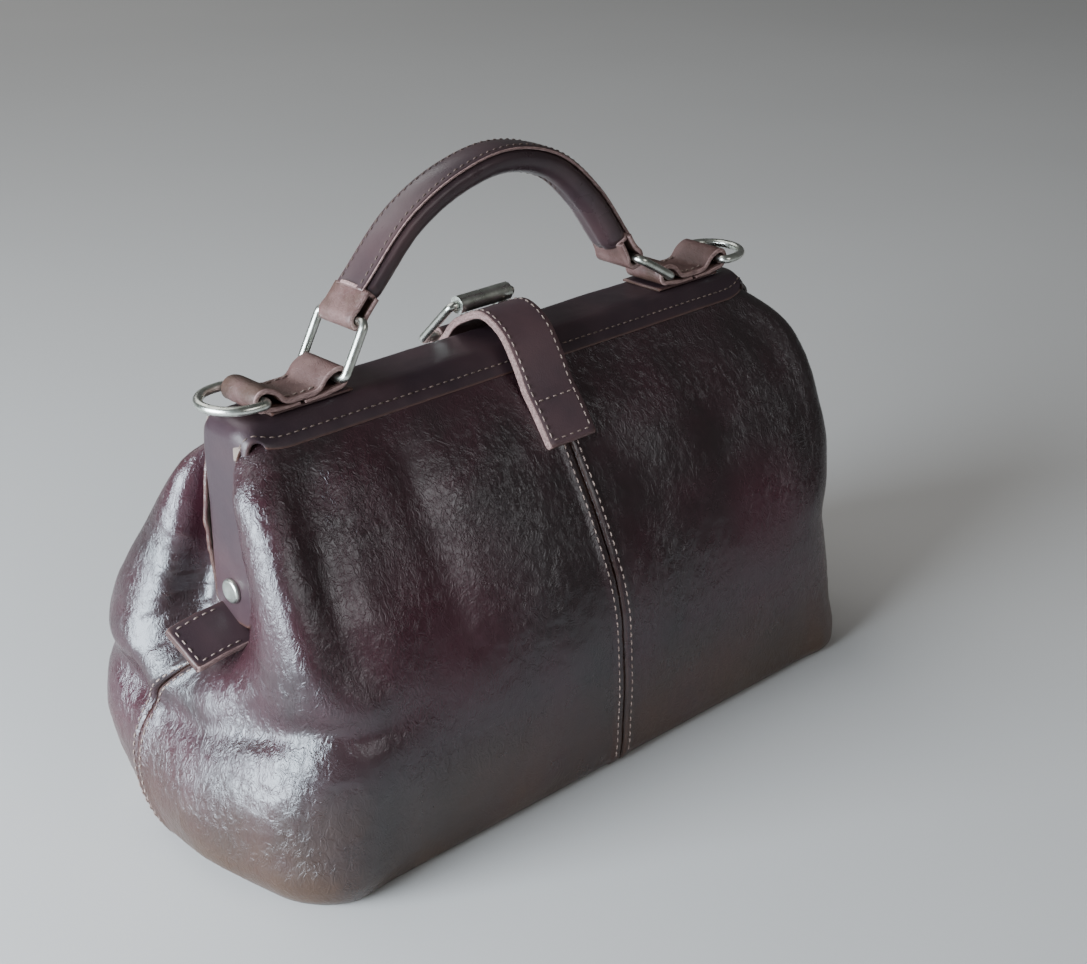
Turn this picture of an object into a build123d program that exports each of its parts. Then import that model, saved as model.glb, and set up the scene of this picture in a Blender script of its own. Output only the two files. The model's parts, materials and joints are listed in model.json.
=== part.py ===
from build123d import *
import math
import os

# Doctor bag: a steel double frame that opens about two end pivots, carried by a soft leather body.
# Millimetres.  X runs along the bag, -Y is the front, +Z is up.
# The origin is the centre of the flat base, on the surface that the bag stands on.

# ---------------------------------------------------------------- driving dimensions
WALL = 2.5                # thickness of one leather wall
FIT = 0.3                 # loose gap between leather pieces, or between leather and metal
PIVOT_Z = 130.0           # height of the frame's hinge axis, which runs along X at y = 0

BASE_T = 3.0              # leather base
BOARD_T = 3.0             # stiffening board on top of the base
LINING_T = 1.2            # fabric lining

# Outline of the leather body: (height, half length, half depth, corner radius)
LOWER_OUTLINE = [
    (0.0, 181.0, 83.0, 43.0),
    (8.0, 188.0, 87.5, 46.0),
    (30.0, 194.0, 90.5, 50.0),
    (60.0, 196.0, 91.0, 52.0),
    (95.0, 196.0, 87.5, 50.0),
    (120.0, 195.5, 77.0, 45.0),
]
UPPER_OUTLINE = [
    (128.0, 189.5, 74.0, 38.0),
    (150.0, 188.5, 64.0, 33.0),
    (170.0, 185.0, 51.5, 27.0),
    (187.0, 181.0, 40.0, 21.0),
    (200.0, 175.0, 28.0, 15.0),
    (212.0, 169.6, 18.5, 9.0),
]
LINING_TOP = 108.0        # the lining ends below the lower panels' rim

# Steel frame: two bent bars side by side, each pivoting on both rivets
BAR_NEAR = 2.0            # distance of a top bar's inner face from y = 0
BAR_FAR = 12.0            # distance of its outer face
BAR_LOW = 203.0           # underside of the top bars
FRONT_BAR_TOP = 212.7
REAR_BAR_TOP = 211.0
LEG_W = 14.0              # width of a frame leg
LEG_T = 2.5               # thickness of a frame leg
REAR_LEG_X = 160.3        # inner face of the rear frame's legs
FRONT_LEG_X = 163.6       # inner face of the front frame's legs
REAR_LEG_TOP = 199.0      # the rear legs stay under the front bar up to here

# Leather cover over the frame
TOP_Z = 216.0             # top of the closed frame
COVER_W = 30.0            # width of the flat cover, over both bars
COVER_X = 169.2           # outer face of the cover's end strips
COVER_T = 2.8             # thickness of the end strips
COVER_PLATE_Z = 213.0     # underside of the top plate
FLANGE_LOW = 199.0        # lower edge of the cover's front flange

GROOVE_W = 31.0           # slot between the leather folds, where the end strip lies
GROOVE_X = 155.0          # the slot reaches inward to here
FOLD_CLEAR_R = 49.0       # the moving end folds stay outside this radius around the pivot
GUSSET_R = 47.0           # the fixed end pan stays inside this radius
GUSSET_X = 156.3          # inner face of the pan's web

# End rivet
RIVET_R = 2.5
RIVET_HEAD_R = 6.2
PIVOT_FIT = 0.06          # radial running clearance of the frame legs on the rivet

# Leather tongue that sticks out under the rivet
TONGUE_L = 32.0
TONGUE_W = 27.0
TONGUE_T = 4.2
TONGUE_DROP = 12.0        # degrees below horizontal

# Handle hardware
WIRE_R = 2.3              # wire radius of the rings
LOOP_R = 6.0              # outside radius of a rolled leather loop
LOOP_W = 26.6             # width of the loops along Y
LOOP_Z = 224.0            # height of the loops on the top plate
RING_X = 110.5            # ring pivots from the centre
DRING_X = 152.5           # D-ring pivots from the centre
RING_L = 28.0             # pivot to pivot, along a handle ring
RING_ARM_Y = 16.9         # side arms of all rings
RING_BEND = 3.3           # bend radius of the ring corners
DRING_REACH = 23.5        # D-ring bar to the top of its arc
LEFT_RING_LEAN = 61.0     # degrees from +X
RIGHT_RING_LEAN = 149.0
OPEN_PIVOT_R = 3.4        # roomier hole in the handle's right loop

# Handle
GRIP_HALF_W = 11.5        # half width along Y
GRIP_HALF_T = 8.0         # half thickness in the plane of the arch
CORE_R = 4.5              # rope core
CORE_FIT = 0.2
GRIP_APEX = (2.0, 306.0)  # middle of the arch, x and z
GRIP_GAP = 12.0           # ring bar to the end of the padded grip

# Closing strap
STRAP_W = 32.0
STRAP_T = 4.0
STRAP_HINGE = (-37.5, 194.3)                       # y, z of the line where the strap leaves the panel
ANCHOR_LINE = [(-53.6, 171.9), (-47.3, 181.2), (-39.2, 192.2)]
STRAP_LINE = [STRAP_HINGE, (-28.5, 210.0), (-17.5, 224.0), (-4.0, 229.3), (8.0, 225.0),
              (17.6, 219.0), (24.6, 210.4), (33.0, 201.4), (44.1, 190.2), (55.0, 175.5)]

# Roller buckle
BUCKLE_WIRE_R = 2.2
BUCKLE_HALF_W = 21.0      # side arms of the buckle frame
ROLLER = (12.2, 231.2)    # y, z of the roller
BUCKLE_FAR = (36.6, 207.2)                         # y, z of the far bar
ROLLER_R = 4.6
ROLLER_BORE_R = 2.3
ROLLER_L = 34.0
CHAPE_W = 20.0            # leather loop round the far bar
CHAPE_T = 2.0

# Magnetic snap under the strap's tail
SNAP_R = 7.0
SNAP_FACE = (45.75, 178.5)                         # y, z of its centre on the rear panel
SNAP_TILT = 56.0          # its axis from +Z towards +Y, in degrees

SIDES = (("left", -1), ("right", 1))


# ---------------------------------------------------------------- helpers
def box(x, y, z):
    """Box from its (low, high) pairs."""
    size = [hi - lo for lo, hi in (x, y, z)]
    middle = [(hi + lo) / 2 for lo, hi in (x, y, z)]
    return Pos(*middle) * Box(*size)


def side_box(side, x, y, z):
    """Box on the left (-1) or right (+1) end; x is given as distances from the centre."""
    low, high = sorted((side * x[0], side * x[1]))
    return box((low, high), y, z)


def x_rod(side, x, radius, y=0.0, z=PIVOT_Z):
    """Cylinder along X between two distances from the centre."""
    middle = side * (x[0] + x[1]) / 2
    return Pos(middle, y, z) * Rot(0, 90, 0) * Cylinder(radius, x[1] - x[0])


def y_rod(x, z, radius, width):
    return Pos(x, 0, z) * Rot(90, 0, 0) * Cylinder(radius, width)


def outline_solid(outline, inset=0.0, stretch=0.0):
    """Smooth solid through rounded rectangles; stretch lengthens it at both ends."""
    faces = []
    for i, (z, half_l, half_d, corner) in enumerate(outline):
        shift = -stretch if i == 0 else stretch if i == len(outline) - 1 else 0.0
        rect = RectangleRounded(2 * (half_l - inset), 2 * (half_d - inset), corner - inset)
        faces.append(Plane.XY.offset(z + shift) * rect)
    return loft(faces)


def ribbon(points, thickness, width, samples=24):
    """Strip of constant thickness along a smooth line in the YZ plane, width along X."""
    line = Spline(*[(0, y, z) for y, z in points])
    upper = []
    lower = []
    for i in range(samples + 1):
        at = line.position_at(i / samples)
        along = line.tangent_at(i / samples)
        normal = Vector(0, -along.Z, along.Y)
        upper.append(at + normal * (thickness / 2))
        lower.append(at - normal * (thickness / 2))
    edges = [Spline(*upper), Line(upper[-1], lower[-1]), Spline(*lower[::-1]), Line(lower[0], upper[0])]
    face = make_face(edges)
    return Pos(-width / 2, 0, 0) * extrude(face, amount=width, dir=(1, 0, 0))


def wire_loop(path, radius):
    """Round wire bent along a closed path, which starts in the middle of a straight stretch."""
    start = Plane(origin=path @ 0, z_dir=path % 0)
    return sweep(start * Circle(radius), path=path)


def corner_arc(center, radius, start):
    """Quarter turn, clockwise, in the XY plane."""
    points = []
    for turn in (0, -45, -90):
        angle = math.radians(start + turn)
        points.append((center[0] + radius * math.cos(angle), center[1] + radius * math.sin(angle)))
    return ThreePointArc(*points)


def rectangle_path(length, arm, bend):
    """Closed rounded rectangle: a bar along Y at x = 0 and another at x = length."""
    end = length - bend
    side = arm - bend
    pieces = [
        Line((0, 0), (0, side)),
        corner_arc((bend, side), bend, 180),
        Line((bend, arm), (end, arm)),
        corner_arc((end, side), bend, 90),
        Line((length, side), (length, -side)),
        corner_arc((end, -side), bend, 0),
        Line((end, -arm), (bend, -arm)),
        corner_arc((bend, -side), bend, -90),
        Line((0, -side), (0, 0)),
    ]
    return Wire([edge for piece in pieces for edge in piece.edges()])


def d_path(reach, arm, bend):
    """Closed D: a straight bar along Y at x = 0, then two arms and a half circle."""
    turn = reach - arm
    side = arm - bend
    pieces = [
        Line((0, 0), (0, side)),
        corner_arc((bend, side), bend, 180),
        Line((bend, arm), (turn, arm)),
        ThreePointArc((turn, arm), (reach, 0), (turn, -arm)),
        Line((turn, -arm), (bend, -arm)),
        corner_arc((bend, -side), bend, -90),
        Line((0, -side), (0, 0)),
    ]
    return Wire([edge for piece in pieces for edge in piece.edges()])


def polar(start, angle, length):
    """Point at a distance and an angle from +X, in the XZ plane."""
    turn = math.radians(angle)
    return (start[0] + length * math.cos(turn), start[1] + length * math.sin(turn))


# ---------------------------------------------------------------- leather body
LOWER_BODY = outline_solid(LOWER_OUTLINE)
LOWER_SHELL = LOWER_BODY - outline_solid(LOWER_OUTLINE, WALL, 0.5)
UPPER_BODY = outline_solid(UPPER_OUTLINE)
UPPER_SHELL = UPPER_BODY - outline_solid(UPPER_OUTLINE, WALL, 0.5)
FAR = 400.0               # larger than the bag, for trimming boxes


def quarter(side, facing):
    """Trimming box for one of the four quarters, with a fine gap at the seams."""
    seam = 0.05
    y = (seam, FAR) if facing == "rear" else (-FAR, -seam)
    return side_box(side, (seam, FAR), y, (-FAR, FAR))


def lower_panel(side, facing):
    """Lower part of one leather quarter, hollowed out round the end pan."""
    panel = LOWER_SHELL & quarter(side, facing)
    return panel - x_rod(side, (GUSSET_X, FAR), GUSSET_R + FIT)


def upper_panel(side, facing):
    """Upper part of one quarter, sewn to the frame, with the fold beside the end strip."""
    panel = UPPER_SHELL & quarter(side, facing)
    half_groove = GROOVE_W / 2
    panel -= side_box(side, (GROOVE_X, FAR), (-half_groove, half_groove), (0, FAR))
    y = (half_groove, half_groove + WALL) if facing == "rear" else (-half_groove - WALL, -half_groove)
    fold = UPPER_BODY & side_box(side, (COVER_X + FIT, FAR), y, (PIVOT_Z, TOP_Z))
    panel = panel + fold
    return panel - x_rod(side, (GUSSET_X, FAR), FOLD_CLEAR_R)


def base_panel():
    half_l, half_d, corner = LOWER_OUTLINE[0][1:]
    inset = WALL + FIT
    plate = RectangleRounded(2 * (half_l - inset), 2 * (half_d - inset), corner - inset)
    return extrude(plate, amount=BASE_T)


def base_board():
    half_l, half_d, corner = LOWER_OUTLINE[0][1:]
    inset = 4 * WALL
    plate = RectangleRounded(2 * (half_l - inset), 2 * (half_d - inset), corner - inset)
    return Pos(0, 0, BASE_T + 0.1) * extrude(plate, amount=BOARD_T)


def lining():
    """Fabric cup just inside the lower panels, with its own floor over the board."""
    floor = BASE_T + BOARD_T + 0.3
    inside = WALL + FIT
    cup = outline_solid(LOWER_OUTLINE, inside) - outline_solid(LOWER_OUTLINE, inside + LINING_T, 0.5)
    cup &= box((-FAR, FAR), (-FAR, FAR), (floor, LINING_TOP))
    solid = outline_solid(LOWER_OUTLINE, inside)
    cup += solid & box((-FAR, FAR), (-FAR, FAR), (floor, floor + LINING_T))
    for _, side in SIDES:
        cup -= x_rod(side, (GUSSET_X - FIT, FAR), GUSSET_R + FIT)
    return cup


def gusset(side):
    """Recessed end pan: a web round the pivot and a lower half collar out to the end wall."""
    outer = LOWER_OUTLINE[-1][1]
    pan = x_rod(side, (GUSSET_X, outer), GUSSET_R)
    pan -= x_rod(side, (GUSSET_X + WALL, FAR), GUSSET_R - WALL)
    above = side_box(side, (GUSSET_X + WALL, FAR), (-FAR, FAR), (PIVOT_Z - 8, FAR))
    return pan - above - x_rod(side, (0, FAR), RIVET_R + PIVOT_FIT)


def pivot_rivet(side):
    """Rivet that both frame legs turn on, with a low domed head outside."""
    shank = x_rod(side, (GUSSET_X - 3.4, COVER_X + 1.0), RIVET_R)
    head = x_rod(side, (COVER_X + 0.3, COVER_X + 2.4), RIVET_HEAD_R)
    rim = head.faces().sort_by(Axis.X)[0 if side < 0 else -1].edges()
    head = fillet(rim, 1.4)
    tail = x_rod(side, (GUSSET_X - 4.6, GUSSET_X - 3.2), RIVET_R + 2.2)
    return shank + head + tail


def pivot_washer(side):
    ring = x_rod(side, (GUSSET_X - 3.1, GUSSET_X - 0.1), RIVET_R + 4.5)
    return ring - x_rod(side, (0, FAR), RIVET_R + PIVOT_FIT)


# ---------------------------------------------------------------- frame
def frame_leg(side, inner_x, top):
    """Flat leg with a rounded lower end that turns on the rivet."""
    leg = side_box(side, (inner_x, inner_x + LEG_T), (-LEG_W / 2, LEG_W / 2), (PIVOT_Z, top))
    leg += x_rod(side, (inner_x, inner_x + LEG_T), LEG_W / 2)
    return leg - x_rod(side, (0, FAR), RIVET_R + PIVOT_FIT)


def front_frame_bar():
    half = FRONT_LEG_X + LEG_T
    frame = box((-half, half), (-BAR_FAR, -BAR_NEAR), (BAR_LOW, FRONT_BAR_TOP))
    hollow = box((-half + 4, half - 4), (-BAR_FAR + 2, -BAR_NEAR - 2), (BAR_LOW - 1, FRONT_BAR_TOP - 2))
    frame -= hollow
    for _, side in SIDES:
        frame += frame_leg(side, FRONT_LEG_X, FRONT_BAR_TOP)
    return frame


def rear_frame_bar():
    half = REAR_LEG_X + LEG_T
    frame = box((-half, half), (BAR_NEAR, BAR_FAR), (BAR_LOW, REAR_BAR_TOP))
    hollow = box((-half + 4, half - 4), (BAR_NEAR + 2, BAR_FAR - 2), (BAR_LOW - 1, REAR_BAR_TOP - 2))
    frame -= hollow
    for _, side in SIDES:
        frame += frame_leg(side, REAR_LEG_X, REAR_LEG_TOP)
        frame += side_box(side, (REAR_LEG_X, half), (BAR_NEAR, LEG_W / 2), (REAR_LEG_TOP - 1, REAR_BAR_TOP))
    return frame


def front_frame_cover():
    """Wide leather cover: the top plate, a front flange and the two flat end strips."""
    half_w = COVER_W / 2
    inner = COVER_X - COVER_T
    cover = box((-COVER_X, COVER_X), (-half_w, half_w), (COVER_PLATE_Z, TOP_Z))
    cover += box((-inner, inner), (-half_w, -BAR_FAR - FIT), (FLANGE_LOW, COVER_PLATE_Z + 1))
    for _, side in SIDES:
        cover += side_box(side, (inner, COVER_X), (-half_w, half_w), (PIVOT_Z, TOP_Z))
        cover += x_rod(side, (inner, COVER_X), half_w)
        cover -= x_rod(side, (inner - 1, FAR), RIVET_R + FIT)
    ends = cover.edges().filter_by(Axis.Y).group_by(Axis.Z)[-1]
    return fillet(ends, 2.5)


def rear_frame_cover():
    """Leather skin on the back of the rear bar, under the wide top plate."""
    half = REAR_LEG_X + LEG_T
    skin_y = BAR_FAR + FIT
    cover = box((-half, half), (skin_y, skin_y + 2.2), (FLANGE_LOW, COVER_PLATE_Z - 0.5))
    return cover + box((-half, half), (BAR_NEAR, skin_y + 1), (REAR_BAR_TOP + 0.1, COVER_PLATE_Z - 0.5))


def end_tongue(side):
    """Double-layer leather tongue that sticks out from the lower end of the strip."""
    tongue = Box(TONGUE_L, TONGUE_W, TONGUE_T)
    tongue = fillet(tongue.edges().filter_by(Axis.Z), 1.5)
    root = polar((COVER_X + 0.4, PIVOT_Z - 13.0), -TONGUE_DROP, TONGUE_L / 2)
    placed = Pos(side * root[0], 0, root[1]) * Rot(0, side * TONGUE_DROP, 0) * tongue
    return placed & side_box(side, (COVER_X + 0.1, FAR), (-FAR, FAR), (0, FAR))


# ---------------------------------------------------------------- handle and rings
def handle_tab(side):
    """Stiff double-layer tab with a rolled loop at each end, sewn to the top plate."""
    low = TOP_Z + 0.1
    middle = (RING_X + DRING_X) / 2
    under = ThreePointArc((side * DRING_X, LOOP_Z - LOOP_R), (side * middle, low), (side * RING_X, LOOP_Z - LOOP_R))
    over = ThreePointArc((side * RING_X, LOOP_Z + 3), (side * middle, low + 5.5), (side * DRING_X, LOOP_Z + 3))
    ends = [Line(under @ 1, over @ 0), Line(over @ 1, under @ 0)]
    face = Plane.XZ * make_face([under, ends[0], over, ends[1]])
    tab = Pos(0, LOOP_W / 2, 0) * extrude(face, amount=LOOP_W, dir=(0, -1, 0))
    for x in (RING_X, DRING_X):
        tab += y_rod(side * x, LOOP_Z, LOOP_R, LOOP_W)
    for x in (RING_X, DRING_X):
        tab -= y_rod(side * x, LOOP_Z, WIRE_R + FIT, LOOP_W + 1)
    return tab


def d_ring(side):
    ring = wire_loop(d_path(DRING_REACH, RING_ARM_Y, RING_BEND), WIRE_R)
    return Pos(side * DRING_X, 0, LOOP_Z) * Rot(0, 0, 0 if side > 0 else 180) * ring


def handle_ring(side):
    lean = RIGHT_RING_LEAN if side > 0 else LEFT_RING_LEAN
    ring = wire_loop(rectangle_path(RING_L, RING_ARM_Y, RING_BEND), WIRE_R)
    return Pos(side * RING_X, 0, LOOP_Z) * Rot(0, -lean, 0) * ring


LEFT_END = polar((-RING_X, LOOP_Z), LEFT_RING_LEAN, RING_L)       # the handle's own ring bars
RIGHT_END = polar((RING_X, LOOP_Z), RIGHT_RING_LEAN, RING_L)
LEFT_RISE = 47.0          # direction in which the handle leaves each ring bar, from +X
RIGHT_RISE = 122.0


def grip_line():
    """Centre line of the padded arch, in the plane y = 0."""
    start = polar(LEFT_END, LEFT_RISE, GRIP_GAP)
    end = polar(RIGHT_END, RIGHT_RISE, GRIP_GAP)
    apex = GRIP_APEX
    points = [start, (-56.0, 288.0), (-28.0, 301.0), apex, (32.0, 298.5), (59.0, 276.5), end]
    return Spline(*[(x, 0, z) for x, z in points])


def along_grip(section):
    line = grip_line()
    start = Plane(origin=line @ 0, x_dir=(0, 1, 0), z_dir=line % 0)
    return sweep(start * section, path=line)


def handle_grip():
    """Padded leather wrapped round the core."""
    return along_grip(Ellipse(GRIP_HALF_W, GRIP_HALF_T)) - along_grip(Circle(CORE_R + CORE_FIT))


def handle_core():
    return along_grip(Circle(CORE_R))


def handle_loop(side):
    """Raw leather loop that holds the grip's end to its ring."""
    end, rise = (RIGHT_END, RIGHT_RISE) if side > 0 else (LEFT_END, LEFT_RISE)
    hole = OPEN_PIVOT_R if side > 0 else WIRE_R + FIT
    outer = hole + 2.7
    length = GRIP_GAP - 1.2
    tongue = Pos(length / 2, 0, 0) * Box(length, LOOP_W - 2, 8.0)
    loop = Rot(90, 0, 0) * Cylinder(outer, LOOP_W)
    loop = loop + tongue - Rot(90, 0, 0) * Cylinder(hole, LOOP_W + 1)
    return Pos(end[0], 0, end[1]) * Rot(0, -rise, 0) * loop


# ---------------------------------------------------------------- closing strap
def strap_anchor():
    """Lower end of the strap, sewn flat on the front panel."""
    return ribbon(ANCHOR_LINE, STRAP_T, STRAP_W)


def closure_strap():
    """Free part of the strap: over the frame, under the roller and down the back."""
    return ribbon(STRAP_LINE, STRAP_T, STRAP_W)


def buckle_bar(at, radius, length):
    return Pos(0, at[0], at[1]) * Rot(0, 90, 0) * Cylinder(radius, length)


def buckle_frame():
    """Rectangular wire frame that lies on the strap, with its near bar inside the roller."""
    run = BUCKLE_FAR[0] - ROLLER[0]
    fall = BUCKLE_FAR[1] - ROLLER[1]
    length = math.hypot(run, fall)
    ring = wire_loop(rectangle_path(length, BUCKLE_HALF_W, RING_BEND), BUCKLE_WIRE_R)
    tilt = math.degrees(math.atan2(fall, run))
    return Pos(0, ROLLER[0], ROLLER[1]) * Rot(tilt, 0, 0) * Rot(0, 0, 90) * ring


def buckle_roller():
    return buckle_bar(ROLLER, ROLLER_R, ROLLER_L) - buckle_bar(ROLLER, ROLLER_BORE_R, ROLLER_L + 1)


def buckle_chape():
    """Short leather loop that holds the far bar down on the strap."""
    hole = BUCKLE_WIRE_R + 0.1
    loop = buckle_bar(BUCKLE_FAR, hole + CHAPE_T, CHAPE_W)
    run = BUCKLE_FAR[0] - ROLLER[0]
    fall = BUCKLE_FAR[1] - ROLLER[1]
    down = math.degrees(math.atan2(fall, run)) - 6.0
    tail = Pos(0, 9.0, -hole) * Box(CHAPE_W, 18.0, CHAPE_T)
    loop += Pos(0, BUCKLE_FAR[0], BUCKLE_FAR[1]) * Rot(down, 0, 0) * tail
    loop -= buckle_bar(BUCKLE_FAR, hole, CHAPE_W + 1)
    return loop - closure_strap()


def snap_disc(low, high, radius):
    """Disc on the snap's axis, between two heights above the rear panel."""
    disc = Pos(0, 0, (low + high) / 2) * Cylinder(radius, high - low)
    return Pos(0, SNAP_FACE[0], SNAP_FACE[1]) * Rot(-SNAP_TILT, 0, 0) * disc


def snap_stud():
    return snap_disc(0.2, 1.9, SNAP_R) - UPPER_BODY


def snap_cap():
    return snap_disc(2.3, 3.6, SNAP_R + 0.5) - closure_strap()


# ---------------------------------------------------------------- write the nodes
def nodes():
    parts = {
        "base_panel": base_panel(),
        "base_board": base_board(),
        "lining": lining(),
        "front_frame_bar": front_frame_bar(),
        "front_frame_cover": front_frame_cover(),
        "rear_frame_bar": rear_frame_bar(),
        "rear_frame_cover": rear_frame_cover(),
        "handle_grip": handle_grip(),
        "handle_core": handle_core(),
        "strap_anchor": strap_anchor(),
        "closure_strap": closure_strap(),
        "buckle_frame": buckle_frame(),
        "buckle_roller": buckle_roller(),
        "buckle_chape": buckle_chape(),
        "snap_stud": snap_stud(),
        "snap_cap": snap_cap(),
    }
    for name, side in SIDES:
        for facing in ("front", "rear"):
            parts[f"{facing}_{name}_lower_panel"] = lower_panel(side, facing)
            parts[f"{facing}_{name}_upper_panel"] = upper_panel(side, facing)
        parts[f"{name}_gusset"] = gusset(side)
        parts[f"{name}_pivot_rivet"] = pivot_rivet(side)
        parts[f"{name}_pivot_washer"] = pivot_washer(side)
        parts[f"{name}_end_tongue"] = end_tongue(side)
        parts[f"{name}_handle_tab"] = handle_tab(side)
        parts[f"{name}_d_ring"] = d_ring(side)
        parts[f"{name}_handle_ring"] = handle_ring(side)
        parts[f"{name}_handle_loop"] = handle_loop(side)
    return parts


os.makedirs("parts", exist_ok=True)
for node, shape in nodes().items():
    export_step(shape, f"parts/{node}.step")
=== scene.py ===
import json
import math

import bpy
import numpy as np
from mathutils import Matrix, Vector


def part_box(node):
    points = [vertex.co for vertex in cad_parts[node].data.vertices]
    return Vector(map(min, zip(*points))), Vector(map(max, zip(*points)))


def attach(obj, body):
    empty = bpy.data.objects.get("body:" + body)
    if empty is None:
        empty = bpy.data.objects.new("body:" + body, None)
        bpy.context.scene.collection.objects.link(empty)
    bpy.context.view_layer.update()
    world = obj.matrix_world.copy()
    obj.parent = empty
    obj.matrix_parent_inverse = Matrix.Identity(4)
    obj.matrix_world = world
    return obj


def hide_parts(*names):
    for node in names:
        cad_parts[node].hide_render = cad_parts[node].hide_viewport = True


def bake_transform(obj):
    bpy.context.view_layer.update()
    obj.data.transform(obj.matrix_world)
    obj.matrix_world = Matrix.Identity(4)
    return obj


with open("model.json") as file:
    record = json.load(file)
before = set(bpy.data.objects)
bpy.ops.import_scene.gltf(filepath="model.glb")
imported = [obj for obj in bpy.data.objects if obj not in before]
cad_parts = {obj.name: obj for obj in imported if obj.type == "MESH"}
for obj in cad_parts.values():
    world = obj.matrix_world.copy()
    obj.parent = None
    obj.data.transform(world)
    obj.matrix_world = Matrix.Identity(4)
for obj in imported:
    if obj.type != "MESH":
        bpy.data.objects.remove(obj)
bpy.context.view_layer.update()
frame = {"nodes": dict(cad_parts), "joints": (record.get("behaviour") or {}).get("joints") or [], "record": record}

# Doctor bag.  Shapes are worked out in millimetres and turned into metres when a mesh is made.
# X runs along the bag, -Y is the front, +Z is up, as in the CAD model.
MM = 0.001
SIDES = (("left", -1), ("right", 1))
FACINGS = (("front", -1), ("rear", 1))


# ---- places read from the frame
def span(node):
    """(low, high) corners of a CAD node in millimetres."""
    low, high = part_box(node)
    return np.array(low) / MM, np.array(high) / MM


def joint(name):
    """Position of a joint's axis, in millimetres."""
    found = [j for j in frame["joints"] if j["name"] == name][0]
    return np.array(found["pos_m"]) / MM


COVER_X, _, TOP_Z = span("front_frame_cover")[1]
PIVOT_Z = joint("frame_open")[2]
LEFT_TAB_RING = joint("handle_sway")
RIGHT_TAB_RING = joint("right_ring_swing")
HANDLE_LEFT = joint("handle_turn")
DRING_X, _, LOOP_Z = joint("right_dring_swing")


# ---- numbers
def smooth(low, high, x):
    """0 below low, 1 above high, smooth between."""
    t = np.clip((np.asarray(x, float) - low) / (high - low), 0, 1)
    return t * t * (3 - 2 * t)


def curve(x, points):
    """Smooth line through (x, y) points, read at x."""
    px = np.array([p[0] for p in points], float)
    py = np.array([p[1] for p in points], float)
    slope = np.gradient(py, px)
    x = np.clip(np.asarray(x, float), px[0], px[-1])
    i = np.clip(np.searchsorted(px, x) - 1, 0, len(px) - 2)
    h = px[i + 1] - px[i]
    t = (x - px[i]) / h
    a = (1 + 2 * t) * (1 - t) ** 2
    b = t * (1 - t) ** 2 * h
    c = t * t * (3 - 2 * t)
    d = t * t * (t - 1) * h
    return a * py[i] + b * slope[i] + c * py[i + 1] + d * slope[i + 1]


def bump(x, middle, width):
    """Smooth hill of height 1."""
    return np.exp(-(((np.asarray(x, float) - middle) / width) ** 2))


class Noise:
    """Seeded gradient noise, about -1 to 1."""

    def __init__(self, seed):
        rng = np.random.default_rng(seed)
        self.order = rng.permutation(256)
        grads = rng.normal(size=(256, 3))
        self.grads = grads / np.linalg.norm(grads, axis=1)[:, None]

    def pick(self, cell):
        order = self.order
        i = order[cell[..., 0] & 255]
        i = order[(i + cell[..., 1]) & 255]
        return self.grads[order[(i + cell[..., 2]) & 255]]

    def __call__(self, points):
        cell = np.floor(points).astype(int)
        local = points - cell
        fade = local ** 3 * (local * (local * 6 - 15) + 10)
        total = np.zeros(points.shape[:-1])
        for corner in np.ndindex(2, 2, 2):
            c = np.array(corner)
            weight = np.prod(np.where(c, fade, 1 - fade), axis=-1)
            total += weight * np.sum(self.pick(cell + c) * (local - c), axis=-1)
        return total * 1.7

    def layers(self, points, count=3):
        return sum(self(points * 2 ** k + 17 * k) / 2 ** k for k in range(count))

    def ridges(self, points, count=2):
        """Sharp creases between soft swellings: 0 in a crease, about 1 on a swelling."""
        total = sum(np.abs(self(points * 2 ** k + 31 * k)) / 1.6 ** k for k in range(count))
        return np.clip(total * 1.6, 0, 1)


# ---- meshes
def fasten(obj, slot, body, *stands_for):
    """The record slot is not used; the piece is hung on the body it rides on and the CAD nodes it stands for are
    hidden.
    """
    if stands_for:
        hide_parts(*stands_for)
    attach(obj, body)


def add_mesh(name, verts, faces, materials, face_material=None, flat=False):
    mesh = bpy.data.meshes.new(name)
    mesh.from_pydata((np.asarray(verts, float) * MM).tolist(), [], [list(f) for f in faces])
    for material in materials:
        mesh.materials.append(material)
    if face_material is not None:
        mesh.polygons.foreach_set("material_index", np.asarray(face_material, np.int32))
    mesh.polygons.foreach_set("use_smooth", [not flat] * len(mesh.polygons))
    mesh.update()
    obj = bpy.data.objects.new(name, mesh)
    bpy.context.scene.collection.objects.link(obj)
    return obj


def quads(rows, columns, wrap_rows=False, wrap_columns=False):
    """Faces of a grid of points stored row by row."""
    faces = []
    for i in range(rows if wrap_rows else rows - 1):
        for j in range(columns if wrap_columns else columns - 1):
            i2 = (i + 1) % rows
            j2 = (j + 1) % columns
            faces.append((i * columns + j, i2 * columns + j, i2 * columns + j2, i * columns + j2))
    return faces


def grid_normals(grid):
    along = np.gradient(grid, axis=0)
    across = np.gradient(grid, axis=1)
    normal = np.cross(along, across)
    return normal / np.maximum(np.linalg.norm(normal, axis=2, keepdims=True), 1e-9)


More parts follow.
